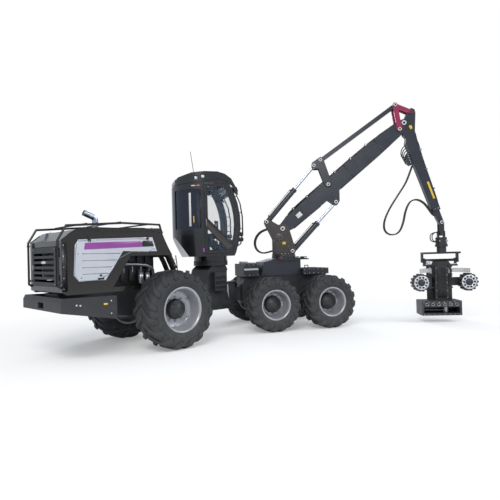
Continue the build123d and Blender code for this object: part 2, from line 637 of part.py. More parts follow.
def boom():
    length = hypot(ELBOW[0] - BOOM_PIN[0], ELBOW[1] - BOOM_PIN[1])
    outline = [(-130, -90), (-130, 110), (250, 190), (1500, 215), (3600, 200), (length - 60, 130),
               (length + 110, 70), (length + 110, -80), (length - 200, -190), (3300, -215), (1300, -215),
               (250, -190)]
    shape = member(BOOM_PIN, ELBOW, outline, -BOOM_Y, BOOM_Y)
    hole = pin(BOOM_PIN, -300, 300, CRANE_PIN_R + PIN_FIT)
    slot = member(BOOM_PIN, ELBOW, [(length - FORK_DEPTH, -400), (length - FORK_DEPTH, 400),
                                    (length + 400, 400), (length + 400, -400)],
                  -STICK_ROOT - GAP, STICK_ROOT + GAP)
    bracket = plates([(1200, 3350), (1560, 3620), (1560, 3300), (1500, 3200), (1420, 3190), (1360, 3230)],
                     EYE_Y + 10, BOOM_Y)
    along = hypot(LIFT_EYE[0] - BOOM_PIN[0], LIFT_EYE[1] - BOOM_PIN[1]) - 50
    recess = member(BOOM_PIN, ELBOW, [(along - 190, -300), (along - 190, -230), (along - 90, -140),
                                      (along + 170, -140), (along + 170, -300)], -EYE_Y - 10, EYE_Y + 10)
    pins = [pin(ELBOW, -BOOM_Y - 20, BOOM_Y + 20, CRANE_PIN_R),
            pin(ROCKER_PIN, -BOOM_Y - GAP - 50, BOOM_Y + GAP + 50, CRANE_PIN_R),
            pin(LINK_LOW, -LINK_LANE[1] - 10, -STICK_ROOT - GAP, CRANE_PIN_R),
            pin(LINK_LOW, STICK_ROOT + GAP, LINK_LANE[1] + 10, CRANE_PIN_R),
            pin(LIFT_EYE, -BOOM_Y - 15, -EYE_Y - RUN, CRANE_PIN_R),
            pin(LIFT_EYE, EYE_Y + RUN, BOOM_Y + 15, CRANE_PIN_R)]
    add("crane_boom", CRANE, shape - hole - slot - recess, *bracket, *pins)


HOSE_R = 26.0
HOSE_LOOP = [(-425, 2600), (-560, 2565), (-690, 2465), (-775, 2320), (-790, 2160), (-730, 2020),
             (-610, 1945), (-470, 1945), (-290, 2000)]
HOSE_LANES = (-153, 153)


def pillar_hoses():
    """The hoses that loop behind the pillar, from the back of its cheeks down to its foot."""
    hoses = Part() + [hose([(x, y, z) for x, z in HOSE_LOOP], HOSE_R) for y in HOSE_LANES]
    NODES["pillar_hoses"] = CRANE * hoses - NODES["crane_pillar"]


def rocker():
    lane = (BOOM_Y + GAP, BOOM_Y + GAP + CHEEK)
    outline = [(1190, 3700), (1330, 3700), (1360, 3790), (1150, 4460), (1070, 4510), (840, 4360),
               (820, 4260), (880, 4200), (1010, 4200)]
    bore = pin(ROCKER_PIN, -300, 300, CRANE_PIN_R + PIN_FIT)
    pins = [pin(ROCKER_ROD, -lane[1] - 10, lane[1] + 10, CRANE_PIN_R)]
    pins += [pin(ROCKER_CYLINDER, *y, CRANE_PIN_R)
             for y in ((EYE_Y + RUN, lane[1] + 10), (-lane[1] - 10, -EYE_Y - RUN))]
    add("crane_rocker", CRANE, *[p - bore for p in plates(outline, *lane)], *pins)
    hole = pin(ROCKER_ROD, -300, 300, CRANE_PIN_R + PIN_FIT)
    open_hole = pin(LINK_TOP, -300, 300, CRANE_PIN_R + 3)
    add("top_rod", CRANE, link(ROCKER_ROD, LINK_TOP, 110, -45, 45) - hole - open_hole)
    low = [link(LINK_LOW, LINK_TOP, 130, *lane_y) - pin(LINK_LOW, -300, 300, CRANE_PIN_R + PIN_FIT)
           for lane_y in (LINK_LANE, (-LINK_LANE[1], -LINK_LANE[0]))]
    add("elbow_link_lower", CRANE, *low, pin(LINK_TOP, -LINK_LANE[1] - 8, LINK_LANE[1] + 8, CRANE_PIN_R))
    high = [link(STICK_LEVER, LINK_TOP, 110, *lane_y) - pin(STICK_LEVER, -300, 300, CRANE_PIN_R + PIN_FIT)
            - open_hole for lane_y in ((78, 106), (-106, -78))]
    add("elbow_link_upper", CRANE, high[0], pin(at(STICK_LEVER, LINK_TOP, 0.4), -80, 80, 18), high[1])


STICK_Y = 90.0


def stick():
    length = hypot(TIP[0] - ELBOW[0], TIP[1] - ELBOW[1])
    tube = member(ELBOW, TIP, [(330, -30), (330, 200), (900, 130), (length - 330, 90),
                               (length - 330, -110), (520, -138)],
                  -STICK_Y, STICK_Y)
    bore = member(ELBOW, TIP, [(500, -86), (500, 66), (length, 66), (length, -86)], -66, 66)
    root = member(ELBOW, TIP, [(-90, -80), (-100, 60), (-260, 200), (-320, 330), (-250, 400), (-150, 390),
                               (300, 210), (420, 190), (420, -70), (300, -125), (60, -95)],
                  -STICK_ROOT, STICK_ROOT)
    hole = pin(ELBOW, -300, 300, CRANE_PIN_R + PIN_FIT)
    valves = member(ELBOW, TIP, [(820, -120), (820, -230), (900, -280), (1120, -250), (1120, -110)],
                    -70, 70)
    add("crane_stick", CRANE, tube - bore, root - hole, pin(STICK_LEVER, -118, 118, CRANE_PIN_R),
        valves - bore)
    inner = member(ELBOW, TIP, [(540, RUN - 86), (540, 66 - RUN), (length + 50, 66 - RUN),
                                (length + 50, -60), (length - 150, RUN - 86)], RUN - 66, 66 - RUN)
    add("stick_extension", CRANE, inner, pin(TIP, -104, 104, 30))


# Head: it hangs from the stick's tip, its trunk way upright and open to the right of the machine

HEAD_X = TIP[0]         # the rotator's axis
CROSS_Z = 2330.0        # cross pin below the tip link
ROTATOR_Z = (2040.0, 2230.0)
ROTATOR_R = 140.0
YOKE_Z = (1790.0, 1840.0)
YOKE_X = 440.0          # inner faces of the yoke's ears from the middle
TILT = (190.0, 1620.0)  # tilt pin's y and z
SPINE = (60.0, 260.0)   # front and back faces of the frame's spine
ROLLER_X = 605.0
ROLLER_Z = 1040.0
ROLLER_R = 235.0
SPINE_X = 170.0
BACK_Y = (268.0, 300.0)  # faces of the plate behind the arms
ARM_PIN = (250.0, 200.0)
ARM_LUGS = ((860.0, 900.0), (1180.0, 1220.0))
KNIFE_PIN = (250.0, 200.0)
KNIFE_LUGS = ((1229.0, 1259.0), (1431.0, 1461.0))
SAW_PIN = (60.0, 0.0)


def at_head(*solids):
    """Moves solids drawn about the rotator's axis to their place in the crane's plane."""
    return [Pos(HEAD_X, 0, 0) * solid for solid in solids]


def tip():
    length = TIP[1] - CROSS_Z
    plate_pair = [link(TIP, (TIP[0], CROSS_Z + 60), 120, *lane) - pin(TIP, -300, 300, 30 + PIN_FIT)
                  for lane in ((74, 100), (-100, -74))]
    block = Pos(0, 0, CROSS_Z) * Box(110, 200, 110)
    bore = rod((-200, 0, CROSS_Z), (200, 0, CROSS_Z), 30 + PIN_FIT)
    add("tip_link", CRANE, *plate_pair, *at_head(block - bore))
    ears = [box(x, (-65, 65), (ROTATOR_Z[1] - 10, CROSS_Z + 65)) for x in ((-92, -62), (62, 92))]
    cross = rod((-98, 0, CROSS_Z), (98, 0, CROSS_Z), 30)
    housing = rod((0, 0, ROTATOR_Z[0]), (0, 0, ROTATOR_Z[1]), ROTATOR_R)
    add("rotator", CRANE, *at_head(housing, *ears, cross))


def knife(side, z0, z1):
    """A curved knife about its pin, closing towards the middle of the trunk way."""
    px, py = side * KNIFE_PIN[0], KNIFE_PIN[1]
    tip_point = (side * 620, -270)
    outer = ThreePointArc((px - side * 20, py + 52), (side * 560, 30), tip_point)
    inner = ThreePointArc(tip_point, (side * 470, -10), (px - side * 20, py - 52))
    root = Line((px - side * 20, py - 52), (px - side * 20, py + 52))
    blade = Pos(0, 0, z0) * extrude(make_face([outer, inner, root]), amount=z1 - z0)
    boss = drum((px, py, z0 - 30), (px, py, z1 + 30), 52)
    pivot = rod((px, py, z0 - 60), (px, py, z1 + 60), 25)
    return blade.fuse(boss, pivot)


def roller():
    """A feed roller about the Y axis, with its ribs."""
    points = []
    ribs = 14
    for i in range(ribs):
        for radius, turn in ((ROLLER_R - 32, -0.30), (ROLLER_R, -0.12), (ROLLER_R, 0.12),
                             (ROLLER_R - 32, 0.30)):
            angle = radians((i + turn) * 360 / ribs)
            points.append((radius * cos(angle), radius * sin(angle)))
    holes = [drum((r * cos(turn), -240, r * sin(turn)), (r * cos(turn), -200, r * sin(turn)), 26, 6)
             for r in (135,) for turn in [2 * pi * i / 10 for i in range(10)]]
    return plate(points, -230, 20) - rod((0, -100, 0), (0, 60, 0), 70) - holes


KNIVES = [
    # name, side, lower and upper faces
    ("left", -1, 1290, 1400),
    ("right", 1, 1290, 1400),
]


def head():
    flange = rod((0, 0, ROTATOR_Z[0] - 60), (0, 0, ROTATOR_Z[0] - RUN), 160)
    neck = drum((0, 0, YOKE_Z[0]), (0, 0, ROTATOR_Z[0] - 50), 120)
    top = box((-YOKE_X - 40, YOKE_X + 40), (-40, TILT[0] + 60), YOKE_Z)
    ears = [box(x, (TILT[0] - 70, TILT[0] + 60), (TILT[1] - 60, YOKE_Z[1])) for x in
            ((-YOKE_X - 40, -YOKE_X), (YOKE_X, YOKE_X + 40))]
    hole = rod((-600, *TILT), (600, *TILT), 35 + PIN_FIT)
    add("head_yoke", CRANE, *at_head(flange, neck, top, *[e - hole for e in ears]))

    spine = box((-SPINE_X, SPINE_X), SPINE, (330, 1500))
    lugs = [box(x, (TILT[0] - 55, TILT[0] + 55), (1461, TILT[1] + 55)) for x in ((-430, -390), (390, 430))]
    shoulder = box((-430, 430), SPINE, (1461, 1500))
    shaft = rod((-490, *TILT), (490, *TILT), 35)
    saw_box = box((-620, 390), (-260, 300), (180, 560))
    cavity = box((-570, 340), (-400, 240), (240, 400))
    holders, bores = [], []
    for side in (-1, 1):
        for (x, y), lugs_z, radius in ((ARM_PIN, ARM_LUGS, 30), (KNIFE_PIN, KNIFE_LUGS, 25)):
            holders += [box(sorted((side * (SPINE_X - 20), side * (x + 60))), (y - 60, SPINE[1]), z)
                        for z in lugs_z]
            bores.append(clear_hole((side * x, y, lugs_z[0][0] - 1), (side * x, y, lugs_z[1][1] + 1),
                                    radius + PIN_FIT))
    back = [box((-SPINE_X, SPINE_X), (SPINE[1] - 10, BACK_Y[1]), (560, 1461)),
            box((-330, 330), BACK_Y, (540, 1461))]
    bonnet = plate([(-250, 1500), (-200, 1590), (200, 1590), (250, 1500)], 70, 130)
    frame = Part() + [spine, *lugs, shoulder, shaft, saw_box, *holders, *back, bonnet]
    add("head_frame", CRANE, *at_head(frame - bores - cavity))

    for name, side in (("left", -1), ("right", 1)):
        pin_x = side * ARM_PIN[0]
        pivot = rod((pin_x, ARM_PIN[1], ARM_LUGS[0][0]), (pin_x, ARM_PIN[1], ARM_LUGS[1][1]), 30)
        boss = drum((pin_x, ARM_PIN[1], ARM_LUGS[0][1] + RUN), (pin_x, ARM_PIN[1], ARM_LUGS[1][0] - RUN),
                    58)
        arm = box(sorted((side * (ARM_PIN[0] + 10), side * (ROLLER_X + 90))), (150, 250), (930, 1150))
        motor = drum((side * ROLLER_X, -99, ROLLER_Z), (side * ROLLER_X, 160, ROLLER_Z), 70 - RUN)
        add("feed_arm_" + name, CRANE, *at_head(arm, boss, pivot, motor))
        add("feed_roller_" + name, CRANE, *at_head(Pos(side * ROLLER_X, 0, ROLLER_Z) * roller()))
    for name, side, z0, z1 in KNIVES:
        add("knife_" + name, CRANE, *at_head(knife(side, z0, z1)))
    blade = box((-540, SAW_PIN[0]), (-60, 60), (300, 312))
    spindle = rod((*SAW_PIN, 240 + RUN), (*SAW_PIN, 400 - RUN), 62)
    add("saw_bar", CRANE, *at_head(blade, spindle))


def build():
    wheels()
    rear_frame()
    rear_bumper()
    hood()
    handrails()
    cab_pedestal()
    cab()
    front_frame()
    pillar()
    boom()
    pillar_hoses()
    rocker()
    cylinder("lift_cylinder", LIFT_BASE, LIFT_EYE, 75, 42, 0.59, 0.09, 0.38)
    cylinder("fold_cylinder", BACK_PIN, ROCKER_CYLINDER, 70, 38, 0.6, 0.1, 0.36)
    stick()
    tip()
    head()


def shift():
    """What brings the middle of the whole part's bottom to the origin."""
    boxes = [shape.bounding_box() for shape in NODES.values()]
    low = [min(getattr(b.min, axis) for b in boxes) for axis in "XYZ"]
    high = [max(getattr(b.max, axis) for b in boxes) for axis in "XYZ"]
    return (-(low[0] + high[0]) / 2, -(low[1] + high[1]) / 2, -low[2])


if __name__ == "__main__":
    build()
    os.makedirs("parts", exist_ok=True)
    whole = Pos(*shift())
    for name, shape in NODES.items():
        placed = whole * shape
        print(name, placed.is_valid, round(placed.volume / 1e6, 2), len(placed.solids()))
        export_step(placed, f"parts/{name}.step")
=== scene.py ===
"""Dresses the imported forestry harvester: materials, tyres, hoses, cab and head details, lights.

Everything is in metres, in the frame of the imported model. Each unit has its own place, taken from
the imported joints, so that a piece is drawn about its own unit and put where that unit stands.
"""

import json
from math import asin, cos, hypot, pi, radians, sin, tan

import bmesh
import bpy
from mathutils import Matrix, Vector


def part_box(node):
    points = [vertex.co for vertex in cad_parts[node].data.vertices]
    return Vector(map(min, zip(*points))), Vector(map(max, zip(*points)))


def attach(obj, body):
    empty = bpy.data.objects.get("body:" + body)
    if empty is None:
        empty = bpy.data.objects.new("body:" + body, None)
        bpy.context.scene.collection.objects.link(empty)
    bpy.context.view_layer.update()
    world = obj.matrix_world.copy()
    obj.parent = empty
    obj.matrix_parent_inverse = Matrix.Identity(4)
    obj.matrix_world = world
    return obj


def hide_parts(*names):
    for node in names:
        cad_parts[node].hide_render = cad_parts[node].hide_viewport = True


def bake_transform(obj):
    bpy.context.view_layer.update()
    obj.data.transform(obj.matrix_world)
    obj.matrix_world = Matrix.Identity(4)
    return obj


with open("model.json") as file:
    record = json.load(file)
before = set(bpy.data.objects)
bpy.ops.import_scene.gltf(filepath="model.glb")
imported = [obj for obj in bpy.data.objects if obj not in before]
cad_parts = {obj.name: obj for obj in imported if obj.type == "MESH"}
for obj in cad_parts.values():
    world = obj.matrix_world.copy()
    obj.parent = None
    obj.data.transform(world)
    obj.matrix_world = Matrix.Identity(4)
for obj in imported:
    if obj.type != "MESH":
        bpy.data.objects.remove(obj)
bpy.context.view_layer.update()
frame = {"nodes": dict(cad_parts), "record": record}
JOINTS = {joint["name"]: joint for joint in frame["record"]["behaviour"]["joints"]}

# Where the units stand
STEER = radians(28)
SLEW_YAW = radians(-22)
PIVOT_Z = 0.89
TIP_X = 4.210               # the tip link's pin, from the slewing axis
pivot = Vector(JOINTS["articulation"]["pos_m"]) - Vector((0, 0, PIVOT_Z))
slew = JOINTS["crane_slew"]["pos_m"]
turn = JOINTS["cab_turn"]["pos_m"]
FRONT = Matrix.Translation(pivot)
REAR = FRONT @ Matrix.Rotation(STEER, 4, "Z")
CRANE = Matrix.Translation((slew[0], slew[1], 0)) @ Matrix.Rotation(SLEW_YAW, 4, "Z")
HEAD = CRANE @ Matrix.Translation((TIP_X, 0, 0))
CAB = Matrix.Translation((turn[0], turn[1], 0))
PLACES = {
    # the unit that each body is drawn about; a body that isn't listed is one of the crane's
    "rear_unit": REAR, "hatch_left": REAR, "hatch_right": REAR, "radiator_cover": REAR,
    "front_unit": FRONT, "cab": CAB, "door": CAB,
    "rotator_body": HEAD, "head": HEAD, "knife_l": HEAD, "knife_r": HEAD, "saw": HEAD,
}
SIDES = (("right", -1), ("left", 1))


# Materials

DUST = (0.30, 0.29, 0.27, 1)
DUST_TOP = 1.4              # height at which the dust has thinned out
GRAIN_DEPTH = 0.002
COAT_ROUGH = 0.12
TINT_EDGE = 0.02            # half the length over which the glass turns dark
TINT_BEHIND = 0.27          # of the cab's turning axis


def set_inputs(tree, node, inputs):
    """Gives a node its inputs: a socket is linked, and anything else is the input's own value."""
    for key, value in inputs.items():
        if isinstance(value, bpy.types.NodeSocket):
            tree.links.new(value, node.inputs[key])
        else:
            node.inputs[key].default_value = value


def add_node(tree, kind, inputs=None, **settings):
    """A new shader node; its settings come first, because they choose which inputs it has."""
    node = tree.nodes.new("ShaderNode" + kind)
    for key, value in settings.items():
        setattr(node, key, value)
    set_inputs(tree, node, inputs or {})
    return node


def map_range(tree, value, start, end, low, high):
    """The value's way from start to end, as a number from low to high."""
    node = add_node(tree, "MapRange", {"Value": value, "From Min": start, "From Max": end, "To Min": low,
                                       "To Max": high})
    return node.outputs["Result"]


def mix_colours(tree, factor, a, b):
    return add_node(tree, "Mix", {"Factor": factor, "A": a, "B": b}, data_type="RGBA").outputs["Result"]


def mottled(tree, color, shade, scale, detail):
    """The position, a noise over it, and the colour that the noise carries between shaded and full."""
    place = add_node(tree, "TexCoord").outputs["Object"]
    noise = add_node(tree, "TexNoise", {"Vector": place, "Scale": scale, "Detail": detail}).outputs["Fac"]
    return place, noise, mix_colours(tree, noise, (*[c * shade for c in color], 1), (*color, 1))


def new_material(name):
    """A material with its node tree and its shader."""
    mat = bpy.data.materials.new(name)
    mat.use_nodes = True
    return mat, mat.node_tree, mat.node_tree.nodes["Principled BSDF"]


def material(name, color, rough=0.45, metal=0.0, shade=0.75, scale=5.0, bump=0.15, grain=60.0, coat=0.0,
             dust=0.0, dust_top=DUST_TOP):
    """A painted, cast or moulded surface: colour mottled between shade and full, uneven gloss, fine grain and
    dust that thins out towards dust_top metres above the ground."""
    mat, tree, shader = new_material(name)
    place, noise, colour = mottled(tree, color, shade, scale, 6)
    if dust:
        height = add_node(tree, "SeparateXYZ", {"Vector": place}).outputs["Z"]
        share = map_range(tree, height, dust_top, 0.0, 0.0, dust)
        patches = add_node(tree, "Math", {0: share, 1: noise}, operation="MULTIPLY").outputs["Value"]
        colour = mix_colours(tree, patches, colour, DUST)
    gloss = map_range(tree, noise, 0.0, 1.0, max(rough - 0.1, 0.03), min(rough + 0.12, 1.0))
    fine = add_node(tree, "TexNoise", {"Vector": place, "Scale": grain, "Detail": 4}).outputs["Fac"]
    relief = add_node(tree, "Bump", {"Strength": bump, "Distance": GRAIN_DEPTH, "Height": fine})
    set_inputs(tree, shader, {"Base Color": colour, "Roughness": gloss, "Metallic": metal,
                              "Normal": relief.outputs["Normal"]})
    if coat:
        set_inputs(tree, shader, {"Coat Weight": coat, "Coat Roughness": COAT_ROUGH})
    return mat


def glass(name, color, opacity, tint=0.0, tint_end=0.0):
    """Glass that lets the cab's inside show; behind tint_end it is darkened to the tint's opacity."""
    mat, tree, shader = new_material(name)
    place, _, colour = mottled(tree, color, 0.8, 2.0, 2)
    if tint:
        depth = add_node(tree, "SeparateXYZ", {"Vector": place}).outputs["X"]
        opacity = map_range(tree, depth, tint_end - TINT_EDGE, tint_end + TINT_EDGE, tint, opacity)
    set_inputs(tree, shader, {"Base Color": colour, "Roughness": 0.04, "Alpha": opacity})
    return mat


LOOKS = {
    "tyre": dict(color=(0.017, 0.019, 0.024), rough=0.72, shade=0.55, scale=9, bump=0.5, grain=90, dust=0.22,
                     dust_top=1.9),
    "rim": dict(color=(0.40, 0.41, 0.44), rough=0.34, metal=0.45, shade=0.78, scale=7, dust=0.2),
    "hub": dict(color=(0.016, 0.017, 0.020), rough=0.45, shade=0.6, dust=0.15),
    "frame": dict(color=(0.020, 0.021, 0.025), rough=0.45, shade=0.6, dust=0.15),
    "hood": dict(color=(0.016, 0.012, 0.010), rough=0.2, metal=0.3, shade=0.6, scale=2, bump=0.04, coat=0.7),
    "silver": dict(color=(0.56, 0.58, 0.63), rough=0.3, metal=0.4, shade=0.85, scale=2, bump=0.04, coat=0.3),
    "purple": dict(color=(0.26, 0.050, 0.30), rough=0.3, shade=0.6, scale=2, bump=0.04, coat=0.3),
    "black": dict(color=(0.006, 0.006, 0.007), rough=0.38, shade=0.6),
    "chrome": dict(color=(0.48, 0.52, 0.60), rough=0.22, metal=1.0, shade=0.8, scale=10, bump=0.03),
    "cab": dict(color=(0.009, 0.010, 0.013), rough=0.2, shade=0.7, scale=3, bump=0.04, coat=0.6),
    "seat": dict(color=(0.030, 0.036, 0.050), rough=0.9, shade=0.6, scale=30, bump=0.7, grain=300),
    "slate": dict(color=(0.019, 0.023, 0.034), rough=0.33, metal=0.1, shade=0.7, scale=3, bump=0.06,
                  coat=0.3),
    "pillar": dict(color=(0.036, 0.029, 0.026), rough=0.36, shade=0.7, scale=5, bump=0.08, coat=0.2),
    "steel": dict(color=(0.42, 0.43, 0.46), rough=0.3, metal=0.8, shade=0.8, scale=14, bump=0.15),
    "cast": dict(color=(0.045, 0.047, 0.052), rough=0.42, metal=0.5, shade=0.6, scale=14, bump=0.25,
                 dust=0.1),
    "red": dict(color=(0.28, 0.012, 0.070), rough=0.3, shade=0.7, scale=6, bump=0.05, coat=0.3),
    "white": dict(color=(0.62, 0.62, 0.62), rough=0.4, shade=0.85, scale=8, bump=0.06),
    "yellow": dict(color=(0.66, 0.44, 0.03), rough=0.45, shade=0.88, scale=12, bump=0.04),
    "orange": dict(color=(0.62, 0.10, 0.015), rough=0.3, shade=0.8, scale=12, bump=0.04),
    "hose": dict(color=(0.007, 0.007, 0.008), rough=0.5, shade=0.55, scale=30, bump=0.4, grain=400),
    "lamp": dict(color=(0.62, 0.66, 0.70), rough=0.1, metal=0.2, shade=0.85, scale=40, bump=0.2, grain=200),
}
MATERIALS = {name: material(name, **look) for name, look in LOOKS.items()}
MATERIALS["glass"] = glass("glass", (0.014, 0.020, 0.038), 0.10, tint=0.86, tint_end=turn[0] - TINT_BEHIND)
MATERIALS["clear_glass"] = glass("clear_glass", (0.16, 0.22, 0.30), 0.10)

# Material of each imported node: the first whose name starts with the key
NODE_MATERIALS = [
    ("tyre_", "tyre"), ("rim_", "rim"), ("engine_hood", "hood"), ("side_hatch", "silver"),
    ("radiator_door", "black"), ("handrail", "black"), ("engine_block", "black"), ("exhaust", "chrome"),
    ("cab_shell", "cab"), ("cab_door_pane", "clear_glass"), ("cab_door", "cab"), ("cab_windows", "glass"),
    ("cab_seat", "seat"), ("crane_base", "slate"), ("crane_pillar", "pillar"), ("crane_", "slate"),
    ("lift_cylinder_rod", "chrome"), ("fold_cylinder_rod", "chrome"), ("lift_", "slate"), ("fold_", "slate"),
    ("top_rod", "slate"), ("stick_ext", "slate"), ("elbow_", "red"), ("feed_roller", "cast"),
    ("knife", "white"), ("saw_bar", "steel"), ("valve_box", "frame"), ("", "frame"),
]


def paint_nodes():
    for name, obj in frame["nodes"].items():
        key = next(mat for start, mat in NODE_MATERIALS if name.startswith(start))
        obj.data.materials.clear()
        obj.data.materials.append(MATERIALS[key])


# Drawing helpers

def around(count, radius, start=0.0):
    """Points of a circle, the first one turned on by the start's share of a step."""
    turns = [2 * pi * (k + start) / count for k in range(count)]
    return [(radius * cos(a), radius * sin(a)) for a in turns]


def at_y(outline, y):
    """The (x, z) outline as points at y."""
    return [(x, y, z) for x, z in outline]


def rounded(points, loops):
    """The points' path with its corners cut, which tends to one smooth curve."""
    path = [Vector(p) for p in points]
    for _ in range(loops):
        inner = [path[0]]
        for a, b in zip(path, path[1:]):
            inner += [a.lerp(b, 0.25), a.lerp(b, 0.75)]
        path = inner + [path[-1]]
    return path


def finish_mesh(name, mesh, place, body, mat, bevel=0.0, smooth=30):
    """An object of the mesh; it rides on the body, or on none where no body is given."""
    mesh.transform(place)
    mesh.materials.append(MATERIALS[mat])
    mesh.shade_smooth()
    obj = bpy.data.objects.new(name, mesh)
    bpy.context.scene.collection.objects.link(obj)
    if bevel:
        mod = obj.modifiers.new("Bevel", "BEVEL")
        mod.width = bevel
        mod.segments = 2
        mod.limit_method = "ANGLE"
        mod.angle_limit = radians(32)
        mod.harden_normals = False
    with bpy.context.temp_override(object=obj, active_object=obj, selected_objects=[obj],
                                   selected_editable_objects=[obj]):
        bpy.ops.object.shade_auto_smooth(angle=radians(smooth))
    if body:
        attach(obj, body)
    return obj


class Piece:
    """Gathers solids of one material on one body, drawn about their unit, into a single mesh. A piece that
    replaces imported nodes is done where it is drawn, and the others are all done at the end."""

    drawn = []

    def __init__(self, name, body, mat, place=None, bevel=0.0, smooth=35):
        self.name, self.body, self.mat = name, body, mat
        self.place = place or PLACES.get(body, CRANE)
        self.bevel, self.smooth = bevel, smooth
        self.mesh = bmesh.new()
        self.drawn.append(self)

    def box(self, x, y, z, turn=None):
        """A block between pairs of faces, turned about its middle if a matrix is given."""
        middle = Vector(((x[0] + x[1]) / 2, (y[0] + y[1]) / 2, (z[0] + z[1]) / 2))
        size = Matrix.Diagonal((abs(x[1] - x[0]), abs(y[1] - y[0]), abs(z[1] - z[0]), 1))
        where = Matrix.Translation(middle) @ (turn or Matrix()) @ size
        bmesh.ops.create_cube(self.mesh, size=1, matrix=where)
        return self

    def rod(self, a, b, radius, end_radius=None, sides=20):
        """A round bar or cone from a to b."""
        a, b = Vector(a), Vector(b)
        where = Matrix.Translation((a + b) / 2) @ (b - a).to_track_quat("Z", "Y").to_matrix().to_4x4()
        bmesh.ops.create_cone(self.mesh, cap_ends=True, segments=sides, radius1=radius,
                              radius2=radius if end_radius is None else end_radius, depth=(b - a).length,
                              matrix=where)
        return self

    def ball(self, middle, radius, squash=1.0):
        where = Matrix.Translation(middle) @ Matrix.Diagonal((1, 1, squash, 1))
        bmesh.ops.create_uvsphere(self.mesh, u_segments=16, v_segments=10, radius=radius, matrix=where)
        return self

    def prism(self, front, back):
        """A solid between two outlines of points that match."""
        rings = [[self.mesh.verts.new(point) for point in outline] for outline in (front, back)]
        self.mesh.faces.new(rings[0])
        self.mesh.faces.new(rings[1][::-1])
        for i in range(len(front)):
            k = (i + 1) % len(front)
            self.mesh.faces.new((rings[0][k], rings[0][i], rings[1][i], rings[1][k]))
        return self

    def plate(self, outline, y0, y1):
        """An (x, z) outline between two y faces."""
        return self.prism(*[at_y(outline, y) for y in (y0, y1)])

    def slab(self, outline, z0, z1):
        """An (x, y) outline between two z faces."""
        return self.prism(*[[(x, y, z) for x, y in outline] for z in (z1, z0)])

    def lathe(self, profile, place=None, sides=48, closed=False):
        """A (y, r) profile carried round the Y axis."""
        place = place or Matrix()
        rings = [[self.mesh.verts.new(place @ Vector((r * x, y, r * z))) for y, r in profile]
                 for x, z in around(sides, 1.0)]
        last = len(profile) if closed else len(profile) - 1
        for i in range(sides):
            here, there = rings[i], rings[(i + 1) % sides]
            for j in range(last):
                k = (j + 1) % len(profile)
                self.mesh.faces.new((here[j], here[k], there[k], there[j]))
        return self

    def tube(self, points, radius, sides=12, loops=2):
        """A bent tube through the points, its corners rounded."""
        path = rounded(points, loops)
        side, last = None, None
        for i, point in enumerate(path):
            ahead = (path[min(i + 1, len(path) - 1)] - path[max(i - 1, 0)]).normalized()
            if side is None:
                side = ahead.orthogonal().normalized()
            side = (side - ahead * side.dot(ahead)).normalized()
            up = ahead.cross(side)
            ring = [self.mesh.verts.new(point + side * x + up * y) for x, y in around(sides, radius)]
            if last:
                for k in range(sides):
                    m = (k + 1) % sides
                    self.mesh.faces.new((last[k], last[m], ring[m], ring[k]))
            else:
                self.mesh.faces.new(ring[::-1])
            last = ring
        self.mesh.faces.new(last)
        return self

    def bolts(self, points, axis, radius=0.014, height=0.01):
        """Hexagonal bolt heads that stand on the points along the axis."""
        for point in points:
            point = Vector(point)
            self.rod(point - Vector(axis) * 0.004, point + Vector(axis) * height, radius, sides=6)
        return self

    def done(self, *replaced):
        """Makes the object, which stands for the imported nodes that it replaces."""
        self.drawn.remove(self)
        bmesh.ops.recalc_face_normals(self.mesh, faces=self.mesh.faces[:])
        mesh = bpy.data.meshes.new(self.name)
        self.mesh.to_mesh(mesh)
        self.mesh.free()
        obj = finish_mesh(self.name, mesh, self.place, self.body, self.mat, self.bevel, self.smooth)
        if replaced:
            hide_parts(*replaced)
        return obj


# Wheels

TYRE_WIDTH = 0.71
WHEEL_Y = 1.075
RIM_INSET = 0.060
HUB_FACE = 0.905 - WHEEL_Y  # inner face of a hub from the wheel's middle
REAR_RIM_R = 0.446
FRONT_RIM_R = 0.350
WHEELS = [
    # name, place of its unit, rim radius, side
    ("rear_right", REAR, REAR_RIM_R, -1),
    ("rear_left", REAR, REAR_RIM_R, 1),
    ("front_right_rear", FRONT, FRONT_RIM_R, -1),
    ("front_right_front", FRONT, FRONT_RIM_R, -1),
    ("front_left_rear", FRONT, FRONT_RIM_R, 1),
    ("front_left_front", FRONT, FRONT_RIM_R, 1),
]
LUGS = 16                   # in each of a tyre's two rows
LUG_LEAN = radians(42)
LUG_HEIGHT = 0.045


def wheel_piece(start, name, unit, mat, smooth=32):
    """A piece drawn about the wheel's own middle."""
    spot = Matrix.Translation(JOINTS["spin_" + name]["pos_m"])
    return Piece(start + name, "wheel_" + name, mat, spot @ unit.to_3x3().to_4x4(), smooth=smooth)


